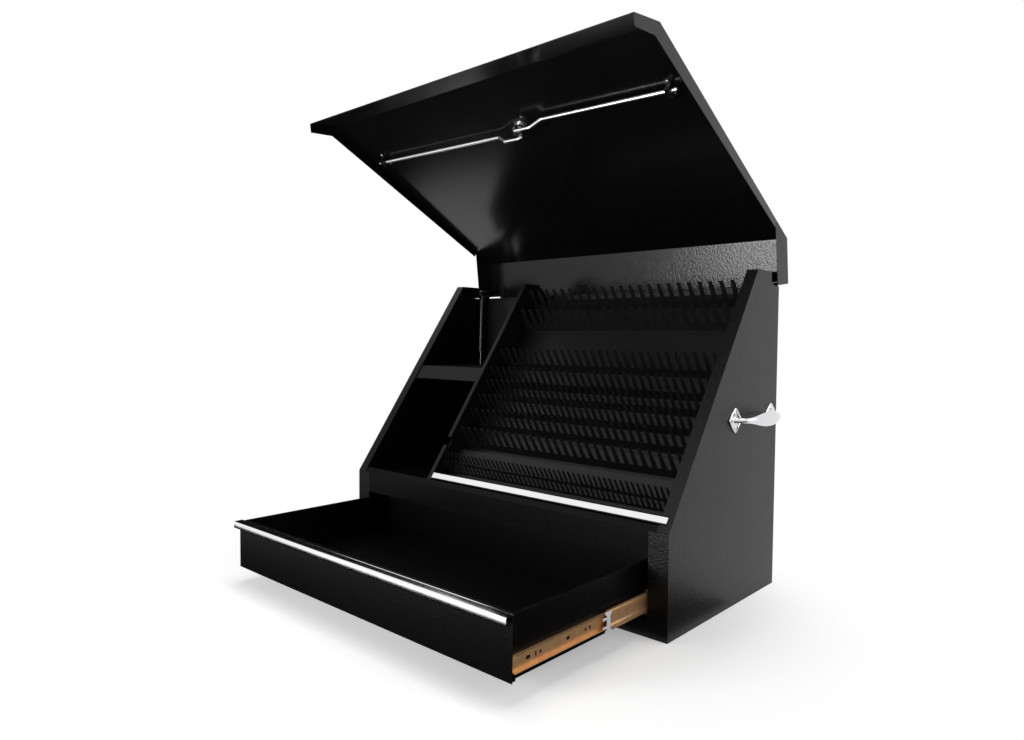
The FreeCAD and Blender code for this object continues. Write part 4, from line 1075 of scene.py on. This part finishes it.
# One flat sheet without any gloss, which is part of the studio and not of the chest
def studio_sheet(name, corners, grey):
    mesh = bpy.data.meshes.new(name)
    mesh.from_pydata(corners, [], [(0, 1, 2, 3)])
    sheet = bpy.data.objects.new(name, mesh)
    scene.collection.objects.link(sheet)
    material, tree, shader = new_material(name)
    shader.inputs["Base Color"].default_value = (grey, grey, grey, 1.0)
    shader.inputs["Roughness"].default_value = 1.0
    shader.inputs["Specular IOR Level"].default_value = 0.0
    mesh.materials.append(material)
    return sheet, tree, shader


def level_corners(x0, x1, y0, y1, z):
    return [(x0, y0, z), (x1, y0, z), (x1, y1, z), (x0, y1, z)]


# 1 where the camera or a reflection looks, 0 for the light that lands on things
def seen_directly(tree):
    path = tree.nodes.new("ShaderNodeLightPath")
    return math_node(tree, "MAXIMUM", path.outputs["Is Camera Ray"], path.outputs["Is Glossy Ray"])


def mixed_shaders(tree, mask, first, second, sink):
    mix = tree.nodes.new("ShaderNodeMixShader")
    tree.links.new(mask, mix.inputs["Fac"])
    tree.links.new(first, mix.inputs[1])
    tree.links.new(second, mix.inputs[2])
    tree.links.new(mix.outputs["Shader"], tree.nodes[sink].inputs["Surface"])


edge = FLOOR_SIZE / 2
floor_corners = level_corners(-edge, edge, -edge, edge, FLOOR_LEVEL)
floor, paper_tree, paper_shader = studio_sheet("floor", floor_corners, PAPER)
paper_glow = math_node(paper_tree, "MULTIPLY", seen_directly(paper_tree), PAPER_GLOW)
paper_shader.inputs["Emission Color"].default_value = WHITE
paper_tree.links.new(paper_glow, paper_shader.inputs["Emission Strength"])

# Away from the chest the paper turns to plain white
paper_offset = paper_tree.nodes.new("ShaderNodeVectorMath")
paper_offset.operation = "SUBTRACT"
paper_offset.inputs[1].default_value = SHADOW_MIDDLE
paper_reach = paper_tree.nodes.new("ShaderNodeVectorMath")
paper_reach.operation = "LENGTH"
paper_tree.links.new(object_place(paper_tree), paper_offset.inputs[0])
paper_tree.links.new(paper_offset.outputs["Vector"], paper_reach.inputs[0])
paper_fade = range_node(paper_tree, paper_reach.outputs["Value"], *SHADOW_REACH)
paper_fade.interpolation_type = "SMOOTHSTEP"
paper_white = paper_tree.nodes.new("ShaderNodeEmission")
paper_white.inputs["Color"].default_value = WHITE
mixed_shaders(
    paper_tree,
    paper_fade.outputs["Result"],
    paper_shader.outputs["BSDF"],
    paper_white.outputs["Emission"],
    "Material Output",
)

world = bpy.data.worlds.new("studio")
scene.world = world
world.use_nodes = True
world_tree = world.node_tree
room = world_tree.nodes["Background"]
room.inputs["Color"].default_value = WHITE
room.inputs["Strength"].default_value = ROOM_LIGHT
seen = world_tree.nodes.new("ShaderNodeBackground")
seen.inputs["Color"].default_value = WHITE
seen.inputs["Strength"].default_value = 1.0
glass_path = world_tree.nodes.new("ShaderNodeLightPath").outputs["Is Transmission Ray"]
shown = math_node(world_tree, "MAXIMUM", seen_directly(world_tree), glass_path)
mixed_shaders(
    world_tree,
    shown,
    room.outputs["Background"],
    seen.outputs["Background"],
    "World Output",
)


# Soft boxes: flat oblong lamps with a place, aim, size and power; the camera doesn't see them
def soft_box(name, place, aim, size, watts):
    lamp = bpy.data.lights.new(name, "AREA")
    lamp.shape = "RECTANGLE"
    lamp.size = size[0]
    lamp.size_y = size[1]
    lamp.energy = watts
    holder = bpy.data.objects.new(name, lamp)
    scene.collection.objects.link(holder)
    holder.location = place
    holder.rotation_euler = (Vector(aim) - Vector(place)).to_track_quat("-Z", "Y").to_euler()
    holder.visible_camera = False


# Black cards: they lie or hang out of view and keep the front of the chest dark, as in the photograph.
# Only reflections see them.
CARD_GREY = 0.004
CARD_LEVEL = 0.002


def black_card(name, corners):
    card = studio_sheet(name, corners, CARD_GREY)[0]
    card.visible_camera = False
    card.visible_diffuse = False
    card.visible_shadow = False
    card.visible_transmission = False


black_card("front_card", level_corners(-6.0, 2.5, -0.82, -0.24, CARD_LEVEL))
black_card("left_front_card", level_corners(-6.0, -0.5, -0.24, 0.18, CARD_LEVEL))
black_card("side_card", level_corners(0.47, 1.2, -0.24, 0.04, CARD_LEVEL))
black_card("left_card", [(-1.6, -0.8, 0.003), (-1.6, 1.6, 0.003), (-1.6, 1.6, 1.3), (-1.6, -0.8, 1.3)])

soft_box("overhead", place=(0.0, 0.0, 2.8), aim=(0.1, -0.15, 0.0), size=(2.0, 1.7), watts=49.0)
soft_box("front", place=(-0.52, -2.4, 0.55), aim=(0.1, 0.0, 0.6), size=(0.8, 0.8), watts=38.0)
soft_box("right", place=(2.6, 0.6, 1.6), aim=(0.4, 0.0, 0.4), size=(1.4, 1.6), watts=14.0)

# Camera: the photograph's viewpoint, before the right front corner and a little above the drawer.
# Its lens, place and turn come from a fit to the chest's straight edges.
CAMERA_PLACE = (1.110, -1.366, 0.540)
CAMERA_PAN = 42.21
CAMERA_TILT = 90.0 - 2.39
CAMERA_ROLL = 0.48
SENSOR_WIDTH = 36.0
FOCAL_PIXELS = 731.1
FRAME_PIXELS = 1024.0

camera_data = bpy.data.cameras.new("camera")
camera = bpy.data.objects.new("camera", camera_data)
scene.collection.objects.link(camera)
scene.camera = camera
camera_data.sensor_width = SENSOR_WIDTH
camera_data.lens = SENSOR_WIDTH * FOCAL_PIXELS / FRAME_PIXELS
camera_data.clip_start = 0.05
camera_data.clip_end = 100.0
camera.location = CAMERA_PLACE
camera.rotation_euler = (
    Matrix.Rotation(math.radians(CAMERA_PAN), 3, "Z")
    @ Matrix.Rotation(math.radians(CAMERA_TILT), 3, "X")
    @ Matrix.Rotation(math.radians(CAMERA_ROLL), 3, "Z")
).to_euler()
scene.view_settings.view_transform = "Standard"
